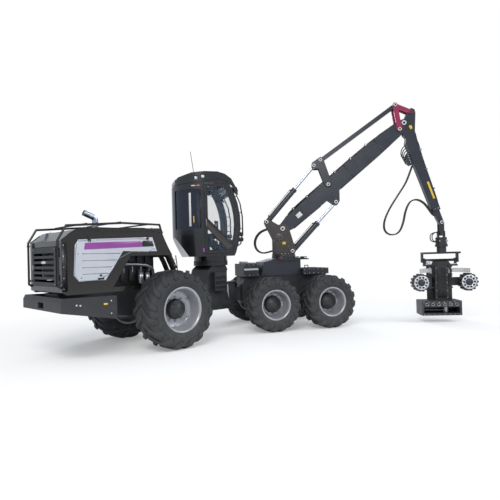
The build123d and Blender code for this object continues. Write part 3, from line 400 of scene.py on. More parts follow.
def tyre(name, unit, rim):
    low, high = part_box("tyre_" + name)
    tip = (high[2] - low[2]) / 2
    half = TYRE_WIDTH / 2
    crown = tip - LUG_HEIGHT
    piece = wheel_piece("tread_", name, unit, "tyre", 40)
    wall = crown - rim
    bead = half - RIM_INSET
    side = [(bead, rim), (bead + 0.012, rim + 0.02), (half - 0.022, rim + 0.25 * wall),
            (half - 0.012, rim + 0.32 * wall), (half - 0.010, rim + 0.5 * wall),
            (half - 0.016, rim + 0.62 * wall), (half - 0.030, rim + 0.70 * wall),
            (half - 0.033, rim + 0.80 * wall), (half - 0.060, rim + 0.93 * wall),
            (half - 0.110, crown - 0.004), (half - 0.2, crown)]
    piece.lathe(side + [(-y, r) for y, r in side[::-1]], sides=96, closed=True)
    for band in (0.30, 0.44):
        r = rim + band * wall
        for s in (-1, 1):
            ring = [(s * (half - 0.020), r), (s * (half - 0.009), r + 0.004), (s * (half - 0.009), r + 0.012),
                    (s * (half - 0.020), r + 0.016)]
            piece.lathe(ring, sides=96, closed=True)
    # share of the way to the shoulder, radius of the top and of the foot from the crown
    stations = [(0.0, 0.040, -0.02), (0.04, 0.045, -0.02), (0.35, 0.045, -0.02), (0.68, 0.044, -0.03),
                (0.86, 0.020, -0.06), (0.97, -0.035, -0.10), (1.0, -0.095, -0.13)]
    for s in (-1, 1):
        for step in range(LUGS):
            start = 2 * pi * (step + 0.25 * s) / LUGS + pi / 2
            rings = []
            for share, top, foot in stations:
                y = 0.012 + share * (half - 0.018)
                turn = start + y * tan(LUG_LEAN) * (1 - 0.12 * share) / crown
                wide = 0.026 + 0.010 * share
                ring = []
                for radius, spread in ((crown + foot, wide + 0.014), (crown + top - 0.006, wide + 0.003),
                                       (crown + top, wide - 0.004)):
                    ring.append((radius, turn - spread / crown / cos(LUG_LEAN)))
                ring += [(radius, 2 * turn - angle) for radius, angle in ring[::-1]]
                rings.append([piece.mesh.verts.new((r * cos(a), s * y, r * sin(a))) for r, a in ring])
            for a, b in zip(rings, rings[1:]):
                for k in range(6):
                    m = (k + 1) % 6
                    piece.mesh.faces.new((a[k], a[m], b[m], b[k]))
            piece.mesh.faces.new(rings[0])
            piece.mesh.faces.new(rings[-1][::-1])
    piece.done("tyre_" + name)


def studs(piece, flip, count, spot, height, radius, start=0.0, sides=6):
    """A ring of bolt heads or studs on a wheel's face; the spot is their (radius, y)."""
    for x, z in around(count, spot[0], start):
        foot = flip @ Vector((x, spot[1], -z))
        piece.rod(foot, foot + flip @ Vector((0, height, 0)), radius, sides=sides)


def wheel_rim(name, unit, rim, side):
    half = TYRE_WIDTH / 2 - RIM_INSET
    disc = HUB_FACE + 0.15
    flip = Matrix() if side > 0 else Matrix.Rotation(pi, 4, "Z")
    dish = wheel_piece("dish_", name, unit, "rim")
    dish.lathe([(HUB_FACE + 0.02, 0.185), (disc, 0.185), (disc, rim - 0.060), (disc - 0.03, rim - 0.032),
                (-half - 0.010, rim - 0.022), (-half - 0.020, rim + 0.020), (-half - 0.012, rim + 0.022),
                (-half, rim - 0.001), (half, rim - 0.001), (half + 0.010, rim + 0.020),
                (half + 0.018, rim + 0.023), (half + 0.022, rim + 0.018), (half + 0.020, rim - 0.010),
                (half - 0.020, rim - 0.022), (half - 0.060, rim - 0.034), (half - 0.16, rim - 0.036),
                (half - 0.19, rim - 0.050), (disc + 0.045, rim - 0.062), (disc + 0.028, rim - 0.085),
                (disc + 0.028, 0.213)], place=flip, sides=72)
    for k in range(6):
        turn = Matrix.Rotation(2 * pi * (k + 0.5) / 6, 4, "Y")
        x, y, z = flip @ turn @ Vector((rim - 0.078, disc + 0.034, 0))
        dish.box((x - 0.03, x + 0.03), (y - 0.012, y + 0.012), (z - 0.02, z + 0.02), turn)
    dish.done("rim_" + name)
    hub = wheel_piece("hub_", name, unit, "hub")
    hub.lathe([(HUB_FACE, 0.0), (HUB_FACE, 0.185), (disc, 0.190), (disc + 0.030, 0.212),
               (disc + 0.060, 0.212), (disc + 0.070, 0.200), (disc + 0.130, 0.192), (disc + 0.140, 0.180),
               (disc + 0.150, 0.120), (disc + 0.163, 0.112), (disc + 0.163, 0.0)], place=flip, sides=60)
    studs(hub, flip, 12, (0.206, disc + 0.028), 0.030, 0.016)
    studs(hub, flip, 8, (0.150, disc + 0.140), 0.014, 0.011)
    nuts = wheel_piece("nuts_", name, unit, "steel")
    studs(nuts, flip, 10, (0.250, disc + 0.026), 0.030, 0.017, 0.5)
    studs(nuts, flip, 10, (0.250, disc + 0.046), 0.025, 0.009, 0.5, sides=10)
    valve = flip @ Vector((0, disc + 0.03, rim - 0.10))
    nuts.rod(valve, valve + flip @ Vector((0, 0.06, 0)), 0.008, sides=10)


def wheels():
    for name, unit, rim, side in WHEELS:
        tyre(name, unit, rim)
        wheel_rim(name, unit, rim, side)


# Rear unit

HOOD_Y = 0.78
GRILLE_X = (-4.20, -3.40)
GRILLE_Y = 0.50
GRILLE_Z = (2.478, 2.503)
GRILLE_SLATS = 20
GRILLE_PITCH = 0.042
HATCH = [(-4.590, 1.600), (-4.560, 2.160), (-4.490, 2.270), (-2.900, 2.330), (-2.790, 2.020), (-3.580, 2.030),
         (-3.960, 1.480), (-4.490, 1.480)]
HATCH_CREASES = [(1.990, -3.640), (1.860, -3.730), (1.730, -3.820), (1.610, -3.900)]    # height, front end
CREASE_REAR_X = -4.418
HOOD_TOP = [(-4.800, 2.250), (-4.560, 2.440), (-4.240, 2.480), (-2.720, 2.510), (-2.560, 2.160),
            (-2.430, 1.940)]
RAIL_Y = 0.74
ENGINE_Y = 0.35             # side face of the engine's block
EXHAUST_X = -3.92
EXHAUST_Y = -0.3
BUMPER_Y = 0.95
CAB_AXIS_X = -0.7           # of the turning ring on the pedestal
CAB_RING_R = 0.38
COVER_X = -4.829            # outer face of the radiator's door


def inset(outline, by):
    """The outline drawn in towards its middle by a share."""
    mx = sum(x for x, z in outline) / len(outline)
    mz = sum(z for x, z in outline) / len(outline)
    return [(x + (mx - x) * by, z + (mz - z) * by) for x, z in outline]


def hood():
    trim = Piece("hood_trim", "rear_unit", "black", smooth=50)
    bolts = Piece("hood_bolts", "rear_unit", "steel")
    for name, s in SIDES:
        y = s * HOOD_Y
        trim.tube(at_y(HOOD_TOP, y), 0.011, loops=1)
        trim.tube([(-2.33, y, 1.93), (-2.29, y, 1.65), (-2.29, y, 1.30)], 0.011, loops=1)
        trim.box((-4.795, -4.70), (y - 0.004, y + 0.004), (1.32, 2.20))
        for x in (-4.1, -3.5, -2.9):
            trim.rod((x, s * (HOOD_Y - 0.05), 2.488), (x, s * (HOOD_Y - 0.05), 2.506), 0.03, sides=16)
        bolts.bolts([(-4.765, y, 1.36 + 0.2 * k) for k in range(5)], (0, s, 0), 0.012)
        bolts.bolts([(-2.36, y, 1.36 + 0.12 * k) for k in range(5)], (0, s, 0), 0.012)
        along_top = [(-4.4 + 0.3 * k, s * (HOOD_Y - 0.03), 2.482 + 0.0052 * k) for k in range(6)]
        bolts.bolts(along_top, (0, 0, 1), 0.012)
    grille = Piece("hood_grille", "rear_unit", "frame", bevel=0.002)
    for s in (-1, 1):
        grille.box(GRILLE_X, (s * GRILLE_Y, s * (GRILLE_Y + 0.02)), (GRILLE_Z[0], GRILLE_Z[1] + 0.002))
    for k in range(GRILLE_SLATS):
        x = GRILLE_X[0] + GRILLE_PITCH * k
        grille.box((x, x + 0.012), (-GRILLE_Y, GRILLE_Y), GRILLE_Z, Matrix.Rotation(radians(25), 4, "Y"))


def hatches():
    for name, s in SIDES:
        body = "hatch_" + name
        y = s * HOOD_Y
        edge = Piece("hatch_edge_" + name, body, "chrome", smooth=50)
        ring = inset(HATCH, 0.035)
        edge.tube(at_y(ring + ring[:1], y), 0.007, loops=1)
        edge.bolts([(-4.45, y, 1.55), (-4.0, y, 1.55), (-4.5, y, 2.0)], (0, s, 0), 0.014)
        strip = Piece("hatch_strip_" + name, body, "purple", bevel=0.001)
        strip.plate([(-4.38, 2.075), (-4.36, 2.20), (-3.15, 2.245), (-3.15, 2.12)], y, y + s * 0.004)
        dark = Piece("hatch_dark_" + name, body, "black", bevel=0.001)
        dark.plate([(-3.148, 2.12), (-3.148, 2.245), (-2.92, 2.253), (-2.87, 2.13)], y, y + s * 0.004)
        dark.box((-4.12, -4.00), (y, y + s * 0.014), (1.50, 1.535))
        dark.rod((-4.06, y, 1.58), (-4.06, y + s * 0.012, 1.58), 0.022)
        # Thin darker steel strips along the bottom of the grooves: painted shade in the hatch's creases.
        shade = Piece("hatch_creases_" + name, body, "steel")
        for z, end in HATCH_CREASES:
            shade.box((CREASE_REAR_X, end - 0.002), (s * (HOOD_Y - 0.0085), s * (HOOD_Y - 0.0065)),
                      (z + 0.001, z + 0.013))


def ribbed(piece, points, radius, pitch=0.016):
    """A corrugated hose: short barrels along the points' curve."""
    path = rounded(points, 3)
    piece.tube(points, radius * 0.88, sides=10)
    left = 0.0
    for a, b in zip(path, path[1:]):
        run = (b - a).length
        while left < run:
            spot = a.lerp(b, left / run)
            ahead = (b - a).normalized() * pitch * 0.28
            piece.rod(spot - ahead, spot + ahead, radius, sides=12)
            left += pitch
        left -= run


def engine_bay():
    hoses = Piece("engine_hoses", "rear_unit", "hose", smooth=60)
    for k in range(6):
        y = -0.74 + 0.085 * k
        lean = 0.02 * (k % 3)
        ribbed(hoses, [(-2.56 + lean, y, 2.02), (-2.44 + lean, y, 1.86), (-2.34 + lean, y, 1.64),
                       (-2.25 + lean, y, 1.42), (-2.05 + lean, y * 0.6, 1.262)], 0.026)
    block = Piece("engine_block_detail", "rear_unit", "frame", bevel=0.004)
    pipes = Piece("engine_pipes", "rear_unit", "steel", smooth=50)
    for s in (-1, 1):
        y = s * ENGINE_Y
        for k in range(6):
            x = -3.85 + 0.2 * k
            block.box((x, x + 0.13), (y, y + s * 0.05), (1.80, 1.98))
            block.box((x + 0.02, x + 0.11), (y, y + s * 0.035), (1.42, 1.66))
            bend = ((0.03, 1.74), (0.09, 1.72), (0.09, 1.60))
            pipes.tube([(x + 0.06, y + s * out, z) for out, z in bend], 0.012, sides=8)
        block.box((-3.9, -2.7), (y, y + s * 0.02), (1.68, 1.76))
        pipes.tube([(-3.9, y + s * 0.11, 1.77), (-3.2, y + s * 0.12, 1.775), (-2.72, y + s * 0.10, 1.72),
                    (-2.66, y + s * 0.06, 1.5)], 0.032)
        for x, top, radius in ((-3.0, 1.60, 0.055), (-2.84, 1.58, 0.048)):
            pipes.rod((x, y + s * 0.10, 1.36), (x, y + s * 0.10, top), radius)
    block.rod((-2.62, 0, 1.62), (-2.57, 0, 1.62), 0.26, sides=40)
    for y, z, radius in ((0.22, 1.42, 0.10), (-0.22, 1.40, 0.09)):
        block.rod((-2.62, y, z), (-2.56, y, z), radius)


def exhaust():
    pipe = Piece("exhaust_pipe", "rear_unit", "chrome", smooth=50)
    route = [(EXHAUST_X, 2.45), (EXHAUST_X, 2.58), (EXHAUST_X, 2.72), (-4.02, 2.76), (-4.155, 2.815)]
    pipe.tube(at_y(route, EXHAUST_Y), 0.060, sides=28)
    for low, high, radius in ((2.485, 2.505, 0.067), (2.60, 2.615, 0.064)):
        pipe.rod((EXHAUST_X, EXHAUST_Y, low), (EXHAUST_X, EXHAUST_Y, high), radius, sides=36)
    pipe.done("exhaust_stack")
    mouth = Piece("exhaust_mouth", "rear_unit", "black")
    # A thin black disc on the pipe's closed end: painted shade standing for its open mouth.
    mouth.rod((-4.150, EXHAUST_Y, 2.8130), (-4.157, EXHAUST_Y, 2.8158), 0.054, sides=28)
    mouth.box((EXHAUST_X - 0.01, EXHAUST_X + 0.01), (-0.372, -0.360), (2.59, 2.625))


def rail_clamps():
    clamps = Piece("rail_clamps", "rear_unit", "frame")
    for s in (-1, 1):
        for x0, z0, x1, z1 in ((-4.828, 1.47, -4.85, 1.50), (-2.652, 2.44, -2.646, 2.41),
                               (-4.85, 2.2, -4.85, 2.17)):
            clamps.rod((x0, s * RAIL_Y, z0), (x1, s * RAIL_Y, z1), 0.030)
    for x in (-4.3, -3.6, -2.9):
        z = 2.537 + 0.08 * (x + 4.69) / 1.13 if x < -3.56 else 2.597
        clamps.tube([(x, -RAIL_Y, z), (x, 0, z + 0.002), (x, RAIL_Y, z)], 0.016, loops=1)


def bumper_details():
    bits = Piece("bumper_bolts", "rear_unit", "white")
    for s in (-1, 1):
        bits.bolts([(-4.62, s * BUMPER_Y, 1.07), (-4.55, s * BUMPER_Y, 1.06)], (0, s, 0), 0.018, 0.012)
        bits.bolts([(-3.95, s * BUMPER_Y, 0.86), (-3.95, s * BUMPER_Y, 1.10)], (0, s, 0), 0.014, 0.010)
    mark = Piece("bumper_markers", "rear_unit", "yellow", bevel=0.003)
    for s in (-1, 1):
        mark.box((-4.10, -4.02), (s * (BUMPER_Y - 0.002), s * (BUMPER_Y + 0.006)), (1.03, 1.065))


def pedestal_details():
    """Rungs, slots and plates on the cab's pedestal, and the bolts of its turning ring."""
    step = Piece("pedestal_details", "rear_unit", "frame", bevel=0.003)
    for z in (1.16, 1.28, 1.40):
        step.rod((-0.95, -0.455, z), (-0.58, -0.455, z), 0.012, sides=10)
    for k in range(6):
        step.box((-0.90 + 0.055 * k, -0.88 + 0.055 * k), (-0.463, -0.456), (1.06, 1.48))
    for x, y in around(30, CAB_RING_R):
        step.rod((CAB_AXIS_X + x, y, 1.655), (CAB_AXIS_X + x, y, 1.675), 0.014, sides=6)
    sign = Piece("pedestal_plate", "rear_unit", "silver", bevel=0.002)
    for s in (-1, 1):
        sign.plate([(-0.52, 1.17), (-0.42, 1.17), (-0.40, 0.82)], s * 0.330, s * 0.336)


def radiator_door_details():
    """The blank plate, the latch and the bolts."""
    cover = Piece("cover_plate", "radiator_cover", "white", bevel=0.002)
    cover.box((COVER_X - 0.005, COVER_X), (-0.10, 0.10), (1.8325, 1.8775))
    latch = Piece("cover_latch", "radiator_cover", "steel", bevel=0.002)
    latch.box((COVER_X - 0.013, COVER_X), (0.52, 0.56), (1.72, 1.80))
    latch.rod((COVER_X - 0.013, 0.54, 1.76), (COVER_X - 0.023, 0.54, 1.76), 0.012)
    latch.bolts([(-4.83, y, z) for y in (-0.55, 0.55) for z in (1.45, 2.10)], (-1, 0, 0), 0.012)


# Cab

CAB_Y = 0.74
SCREEN = (-1.341, 2.675)
SCREEN_R = 1.956
SCREEN_Y = 0.65             # where the windscreen's side seals run
BEND_X = -0.2               # where the rear quarter's round begins, of radius CAB_Y
WINDOW_HEIGHTS = (2.22, 3.46)
LAMPS = [(-0.450, 3.765, 0.696), (-0.290, 3.800, 0.734), (-0.130, 3.830, 0.740)]     # x, z, half width there
FRONT_LAMPS = (-0.42, -0.14, 0.14, 0.42)


def quarter(x, out=0.0):
    """Half the cab's width at x on its round rear quarter, a step outside the skin."""
    return ((CAB_Y + out) ** 2 - (x - BEND_X) ** 2) ** 0.5


def screen(inward, high, low, parts=8):
    """Points down the windscreen's curve, moved in, between two heights."""
    radius = SCREEN_R - inward
    ends = [asin((z - SCREEN[1]) / radius) for z in (high, low)]
    turns = [ends[0] + (ends[1] - ends[0]) * i / parts for i in range(parts + 1)]
    return [(SCREEN[0] + radius * cos(a), SCREEN[1] + radius * sin(a)) for a in turns]


def cushion(name, x, y, z, turn=0.0, crown=0.03):
    """A crowned cushion whose sides pull in between its corners, with a seam round its middle."""
    mesh = bmesh.new()
    mid = Vector(((x[0] + x[1]) / 2, (y[0] + y[1]) / 2, (z[0] + z[1]) / 2))
    half = Vector(((x[1] - x[0]) / 2, (y[1] - y[0]) / 2, (z[1] - z[0]) / 2))
    bmesh.ops.create_cube(mesh, size=2)
    bmesh.ops.subdivide_edges(mesh, edges=mesh.edges[:], cuts=11, use_grid_fill=True)
    thin = min(range(3), key=lambda k: half[k])
    a, b = [k for k in range(3) if k != thin]
    for vert in mesh.verts:
        co = vert.co.copy()
        pull = 1 - 0.07 * (1 - co[a] ** 2) * abs(co[b]) - 0.07 * (1 - co[b] ** 2) * abs(co[a])
        round_off = max(abs(co[a]), abs(co[b])) ** 8
        dome = (1 - co[a] ** 4) * (1 - co[b] ** 4)
        channel = 0.10 * sum(max(0, 1 - abs(co[b] - c) * 14) for c in (-0.33, 0.33))
        size = half[thin] * (1 - 0.35 * round_off - channel) + crown * dome * 0.5
        out = Vector((0, 0, 0))
        out[a] = co[a] * half[a] * pull * (1 - 0.05 * abs(co[thin]) ** 3)
        out[b] = co[b] * half[b] * pull * (1 - 0.05 * abs(co[thin]) ** 3)
        out[thin] = co[thin] * size
        vert.co = out
    bmesh.ops.transform(mesh, verts=mesh.verts,
                        matrix=Matrix.Translation(mid) @ Matrix.Rotation(turn, 4, "Y"))
    bmesh.ops.recalc_face_normals(mesh, faces=mesh.faces[:])
    data = bpy.data.meshes.new(name)
    mesh.to_mesh(data)
    mesh.free()
    obj = finish_mesh(name, data, CAB, "cab", "seat", 0.0, 60)
    smooth = obj.modifiers.new("Subdivision", "SUBSURF")
    smooth.levels = smooth.render_levels = 1
    return obj


def seat():
    base = cushion("seat_base", (-0.33, 0.14), (-0.24, 0.24), (2.345, 2.455), 0.05)
    cushion("seat_back", (-0.44, -0.33), (-0.23, 0.23), (2.46, 2.95), radians(-10))
    cushion("seat_head", (-0.50, -0.41), (-0.14, 0.14), (2.93, 3.10), radians(-10), 0.02)
    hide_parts("cab_seat")
    frame_bits = Piece("seat_frame", "cab", "black", bevel=0.004)
    frame_bits.rod((-0.1, 0, 1.94), (-0.1, 0, 2.20), 0.09).rod((-0.1, 0, 2.20), (-0.1, 0, 2.34), 0.12, 0.16)
    frame_bits.box((-0.32, 0.12), (-0.22, 0.22), (2.325, 2.35))
    for s in (-1, 1):
        frame_bits.box((-0.30, 0.10), (s * 0.27, s * 0.33), (2.58, 2.62))
        frame_bits.box((-0.33, -0.28), (s * 0.25, s * 0.29), (2.36, 2.62))
        frame_bits.rod((0.06, s * 0.30, 2.62), (0.08, s * 0.30, 2.72), 0.016, 0.013)
        frame_bits.ball((0.083, s * 0.30, 2.74), 0.032, 1.3)
        frame_bits.box((0.0, 0.12), (s * 0.25, s * 0.36), (2.615, 2.632))


def console():
    """Pedals, screen, the box behind the seat and the lining under the roof."""
    desk = Piece("cab_console", "cab", "frame", bevel=0.006)
    desk.box((0.28, 0.36), (-0.16, 0.16), (1.95, 2.16)).box((-0.55, -0.40), (-0.5, 0.5), (1.95, 2.35))
    desk.box((0.26, 0.30), (0.34, 0.58), (2.62, 2.82)).rod((0.28, 0.46, 2.0), (0.28, 0.46, 2.64), 0.016)
    for y in ((-0.12, -0.03), (0.03, 0.12)):
        desk.box((0.20, 0.30), y, (1.96, 1.985), Matrix.Rotation(radians(-25), 4, "Y"))
    desk.box((-0.55, 0.30), (-0.55, 0.55), (3.72, 3.76))
    display = Piece("cab_display", "cab", "lamp", bevel=0.003)
    display.box((0.253, 0.262), (0.36, 0.56), (2.645, 2.795))


def windows():
    seals = Piece("window_seals", "cab", "black", smooth=60)
    rubber = Piece("door_seals", "door", "black", smooth=60)
    high = [(-0.2, 2.79), (-0.2, 3.56), *screen(0.16, 3.56, 2.2)]
    low = [(-0.2, 2.04), (-0.2, 2.56), (0.24, 2.04)]
    for outline in (high, low):
        for piece, s in ((rubber, -1), (seals, 1)):
            ring = at_y(outline, s * (CAB_Y + 0.001))
            piece.tube(ring + ring[:1], 0.009, sides=8, loops=1)
    for s in (-1, 1):
        seals.tube(at_y(screen(0.0, *WINDOW_HEIGHTS[::-1]), s * SCREEN_Y), 0.011, sides=8, loops=0)
        seals.tube([(-0.36, s * quarter(-0.36), z) for z in (2.58, 3.48)], 0.010, sides=8, loops=0)
    for z in WINDOW_HEIGHTS:
        x = screen(0.0, z, z, 1)[0][0]
        seals.tube([(x, -SCREEN_Y, z), (x, SCREEN_Y, z)], 0.011, sides=8, loops=0)


def wiper_arm():
    wiper = Piece("wiper", "cab", "black", smooth=50)
    arm = screen(-0.022, 2.95, 2.18, 6)
    foot_x, foot_z = arm[-1]
    reach = [(foot_x, 0.05, foot_z)] + [(x, 0.05 - 0.05 * k, z) for k, (x, z) in enumerate(arm[::-1])]
    wiper.tube(reach, 0.008, sides=8, loops=1)
    blade = screen(-0.014, 3.25, 2.55, 6)
    wiper.tube(at_y(blade, -0.26), 0.009, sides=8, loops=0)
    wiper.rod((foot_x - 0.03, 0.05, foot_z), (foot_x + 0.02, 0.05, foot_z), 0.03)


def cab_lamps():
    lens = Piece("cab_lamp_glasses", "cab", "lamp", bevel=0.004)
    rims = Piece("cab_lamp_rims", "cab", "black", smooth=50)
    for s in (-1, 1):
        for x, z, half in LAMPS:
            lens.box((x - 0.033, x + 0.033), (s * (half + 0.008), s * (half + 0.018)), (z - 0.033, z + 0.033))
        for z in (2.29, 2.42):
            lens.rod((0.712, s * 0.56, z), (0.720, s * 0.56, z), 0.042, 0.034)
            for k in range(3):
                rims.rod((0.62 + 0.03 * k, s * 0.56, z), (0.63 + 0.03 * k, s * 0.56, z), 0.056)
    for y in FRONT_LAMPS:
        a = Vector((0.520, y, 3.540))
        ahead = Vector((0.19, 0, -0.06)).normalized()
        lens.rod(a - ahead * 0.002, a + ahead * 0.008, 0.052, 0.044)
        rims.rod(a - ahead * 0.02, a + ahead * 0.004, 0.066)
    for z in (3.35, 2.95, 2.55):
        x = screen(-0.045, z, z, 1)[0][0]
        for s in (-1, 1):
            rims.rod((x - 0.075, s * 0.6, z), (x + 0.04, s * 0.6, z), 0.010, sides=8)


def cab_strips():
    """Coloured strips that follow the round rear quarter, and the blank sticker."""
    strips = Piece("cab_white_strip", "cab", "white", bevel=0.001)
    yellow = Piece("cab_yellow_strip", "cab", "yellow", bevel=0.001)
    orange = Piece("cab_orange_line", "cab", "orange", bevel=0.001)
    for s in (-1, 1):
        for piece, x, wide, low, high in ((strips, -0.62, 0.045, 2.62, 3.42),
                                          (yellow, -0.53, 0.02, 2.70, 2.86),
                                          (orange, -0.46, 0.09, 3.575, 3.60),
                                          (strips, -0.56, 0.08, 3.575, 3.60)):
            face = [(v, s * quarter(v, 0.003)) for v in (x, x + wide)]
            back = [(v + 0.002, y - s * 0.004) for v, y in face[::-1]]
            piece.slab((face + back)[::-s], low, high)
    sticker = Piece("cab_blank_sticker", "cab", "purple", bevel=0.001)
    sticker.box((-0.335, -0.285), (-0.742, -0.730), (2.00, 2.09))


def door_details():
    band = Piece("door_band", "door", "pillar", bevel=0.003)
    band.plate([(-0.235, 2.60), (0.28, 2.045), (0.40, 2.12), (-0.235, 2.735)], -CAB_Y - 0.012, -CAB_Y + 0.004)
    grip = Piece("door_handle", "door", "steel", smooth=50)
    bow = ((-0.735, 2.62), (-0.755, 2.63), (-0.755, 2.76), (-0.735, 2.77))
    grip.tube([(-0.235, y, z) for y, z in bow], 0.007)
    grip.box((0.30, 0.36), (-0.752, -0.738), (2.60, 2.63))


def roof_details():
    roof = Piece("roof_details", "cab", "cab", bevel=0.006)
    roof.box((-0.35, 0.0), (-0.3, 0.3), (3.89, 3.925)).box((-0.30, -0.05), (-0.25, 0.25), (3.92, 3.935))
    for k in range(8):
        roof.box((-0.52, -0.40), (-0.28 + 0.075 * k, -0.24 + 0.075 * k), (3.885, 3.91))
    roof.rod((-0.42, -0.30, 3.88), (-0.43, -0.30, 3.96), 0.022, 0.012)


# Front unit

VALVE_BOX_Y = 0.449
VALVE_BOX_TOP = 1.669
BOGIE_X = 1.5
BOGIE_Y = 0.70
AXLE_Z = 0.668
AXLE_DX = 0.75              # from the bogie's pin to a wheel
DECK_X = 1.92               # first tread mark of the deck
DECK_Z = 1.499
CAP_Z = 1.82                # where the platform's caps stand

def valve_box():
    box_bits = Piece("valve_box_details", "front_unit", "steel", bevel=0.002)
    for s in (-1, 1):
        spots = [(0.25 + 0.115 * k, s * (VALVE_BOX_Y + 0.001), z) for k in range(4) for z in (1.37, 1.64)]
        box_bits.bolts(spots, (0, s, 0), 0.011)
    for k in range(7):
        y = -0.36 + 0.12 * k
        box_bits.rod((0.34, y, VALVE_BOX_TOP), (0.34, y, 1.705), 0.022, sides=6)
        box_bits.rod((0.34, y, 1.70), (0.34, y, 1.73), 0.014)
        box_bits.box((0.42, 0.56), (y - 0.035, y + 0.035), (VALVE_BOX_TOP, 1.70))
    stripe = Piece("valve_box_stripes", "front_unit", "silver", bevel=0.002)
    for s in (-1, 1):
        stripe.box((0.235, 0.615), (s * VALVE_BOX_Y, s * (VALVE_BOX_Y + 0.005)), (1.50, 1.545))
    hoses = Piece("valve_hoses", "front_unit", "hose", smooth=60)
    for k in range(6):
        y = -0.30 + 0.12 * k
        route = ((0.60, 1.60), (0.67, 1.60), (0.71, 1.52), (0.725, 1.40), (0.70, 1.35))
        hoses.tube(at_y(route, y), 0.016)


def deck_tread():
    """Raised marks on the deck, turned by turns."""
    tread = Piece("deck_tread", "front_unit", "slate", smooth=20)
    for i in range(9):
        for j in range(12):
            x, y = DECK_X + 0.076 * i, -0.46 + 0.082 * j
            if abs(y) > 0.03 or not 2.08 < x < 2.26:
                turn = Matrix.Rotation(radians(45 if (i + j) % 2 else -45), 4, "Z")
                tread.box((x - 0.022, x + 0.022), (y - 0.005, y + 0.005), (DECK_Z, DECK_Z + 0.005), turn)


def front_bolts():
    bolts = Piece("front_bolts", "front_unit", "steel")
    for s in (-1, 1):
        spots = [(1.90 + 0.13 * k, s * 0.50, z) for k in range(6) for z in (1.37, 1.47)]
        bolts.bolts(spots, (0, s, 0), 0.012)
        bolts.bolts([(BOGIE_X + x, s * BOGIE_Y, AXLE_Z + z) for x, z in around(12, 0.115)], (0, s, 0))
        for dx in (-AXLE_DX, AXLE_DX):
            oval = [(BOGIE_X + dx + 0.165 * x, s * BOGIE_Y, AXLE_Z + 0.085 * z) for x, z in around(10, 1.0)]
            bolts.bolts(oval, (0, s, 0), 0.010)


def platform_caps():
    red = Piece("platform_red_caps", "front_unit", "red", bevel=0.002)
    white = Piece("platform_white_caps", "front_unit", "white", bevel=0.002)
    for k, (x, y) in enumerate(((1.93, -0.40), (1.93, -0.25), (1.93, 0.12), (1.24, -0.40))):
        piece = red if k % 2 else white
        other = white if k % 2 else red
        piece.rod((x + 0.025, y + 0.03, CAP_Z), (x + 0.025, y + 0.03, CAP_Z + 0.006), 0.018)
        other.rod((x + 0.065, y + 0.08, CAP_Z), (x + 0.065, y + 0.08, CAP_Z + 0.007), 0.016)
        piece.box((x + 0.01, x + 0.08), (y - 0.004, y + 0.002), (1.775, 1.81))


# Crane, in its own plane: (x, z) points from the slewing axis

BOOM_PIN = (0.0, 2.590)
BACK_PIN = (-0.430, 2.790)
LIFT_BASE = (0.250, 1.980)
LIFT_EYE = (1.460, 3.272)
ROCKER_PIN = (1.260, 3.750)
ROCKER_ROD = (1.070, 4.420)
ROCKER_CYLINDER = (0.890, 4.280)
ELBOW = (3.310, 5.320)
LINK_LOW = (3.190, 5.150)
LINK_TOP = (3.090, 5.810)
TIP = (TIP_X, 2.630)
STICK_LENGTH = hypot(TIP[0] - ELBOW[0], TIP[1] - ELBOW[1])
BOOM_Y = 0.110
STICK_Y = 0.090
PILLAR_Y = 0.188
PILLAR_EYE = (-0.10, 2.36)
SLEW_BOLTS_R = 0.285
BOOM_LANES = (-0.075, -0.045, -0.015, 0.015, 0.045, 0.075)
STICK_LANES = (-0.055, -0.02, 0.02, 0.055)
CAPS = [
    # pin, y of its end, body, radius of the cap
    (BOOM_PIN, 0.208, "pillar", 0.062), (BACK_PIN, 0.208, "pillar", 0.050),
    (LIFT_BASE, 0.208, "pillar", 0.050), (ELBOW, 0.130, "boom", 0.062),
    (ROCKER_PIN, 0.168, "boom", 0.050), (LINK_LOW, 0.158, "boom", 0.046),
    (LIFT_EYE, 0.125, "boom", 0.050), (ROCKER_ROD, 0.158, "rocker", 0.046),
    (ROCKER_CYLINDER, 0.158, "rocker", 0.046), (LINK_TOP, 0.156, "link_lower", 0.046),
    (TIP, 0.104, "extension", 0.044),
]


def along(a, b, u, w=0.0):
    """The point u along the line from a to b and w to its left."""
    length = hypot(b[0] - a[0], b[1] - a[1])
    dx, dz = (b[0] - a[0]) / length, (b[1] - a[1]) / length
    return a[0] + u * dx - w * dz, a[1] + u * dz + w * dx


def on_member(a, b, path, y):
    """Points at y of a path of (u, w) steps along a member."""
    return at_y([along(a, b, u, w) for u, w in path], y)


def patch(a, b, u, w):
    """A rectangle's corners between two lengths and two heights along a member."""
    return [along(a, b, u[i], w[j]) for i, j in ((0, 0), (1, 0), (1, 1), (0, 1))]


def pin_caps():
    for body in dict.fromkeys(cap[2] for cap in CAPS):
        rims = Piece("caps_" + body, body, "white", bevel=0.003)
        hearts = Piece("cap_centres_" + body, body, "black", bevel=0.002)
        for (x, z), y, owner, radius in CAPS:
            if owner == body:
                for s in (-1, 1):
                    rims.rod((x, s * (y - 0.003), z), (x, s * (y + 0.012), z), radius, sides=28)
                    hearts.rod((x, s * y, z), (x, s * (y + 0.018), z), radius * 0.5, sides=20)
                    spots = [(x + dx, s * (y + 0.010), z + dz) for dx, dz in around(4, radius * 0.74, 0.5)]
                    hearts.bolts(spots, (0, s, 0), 0.007, 0.005)


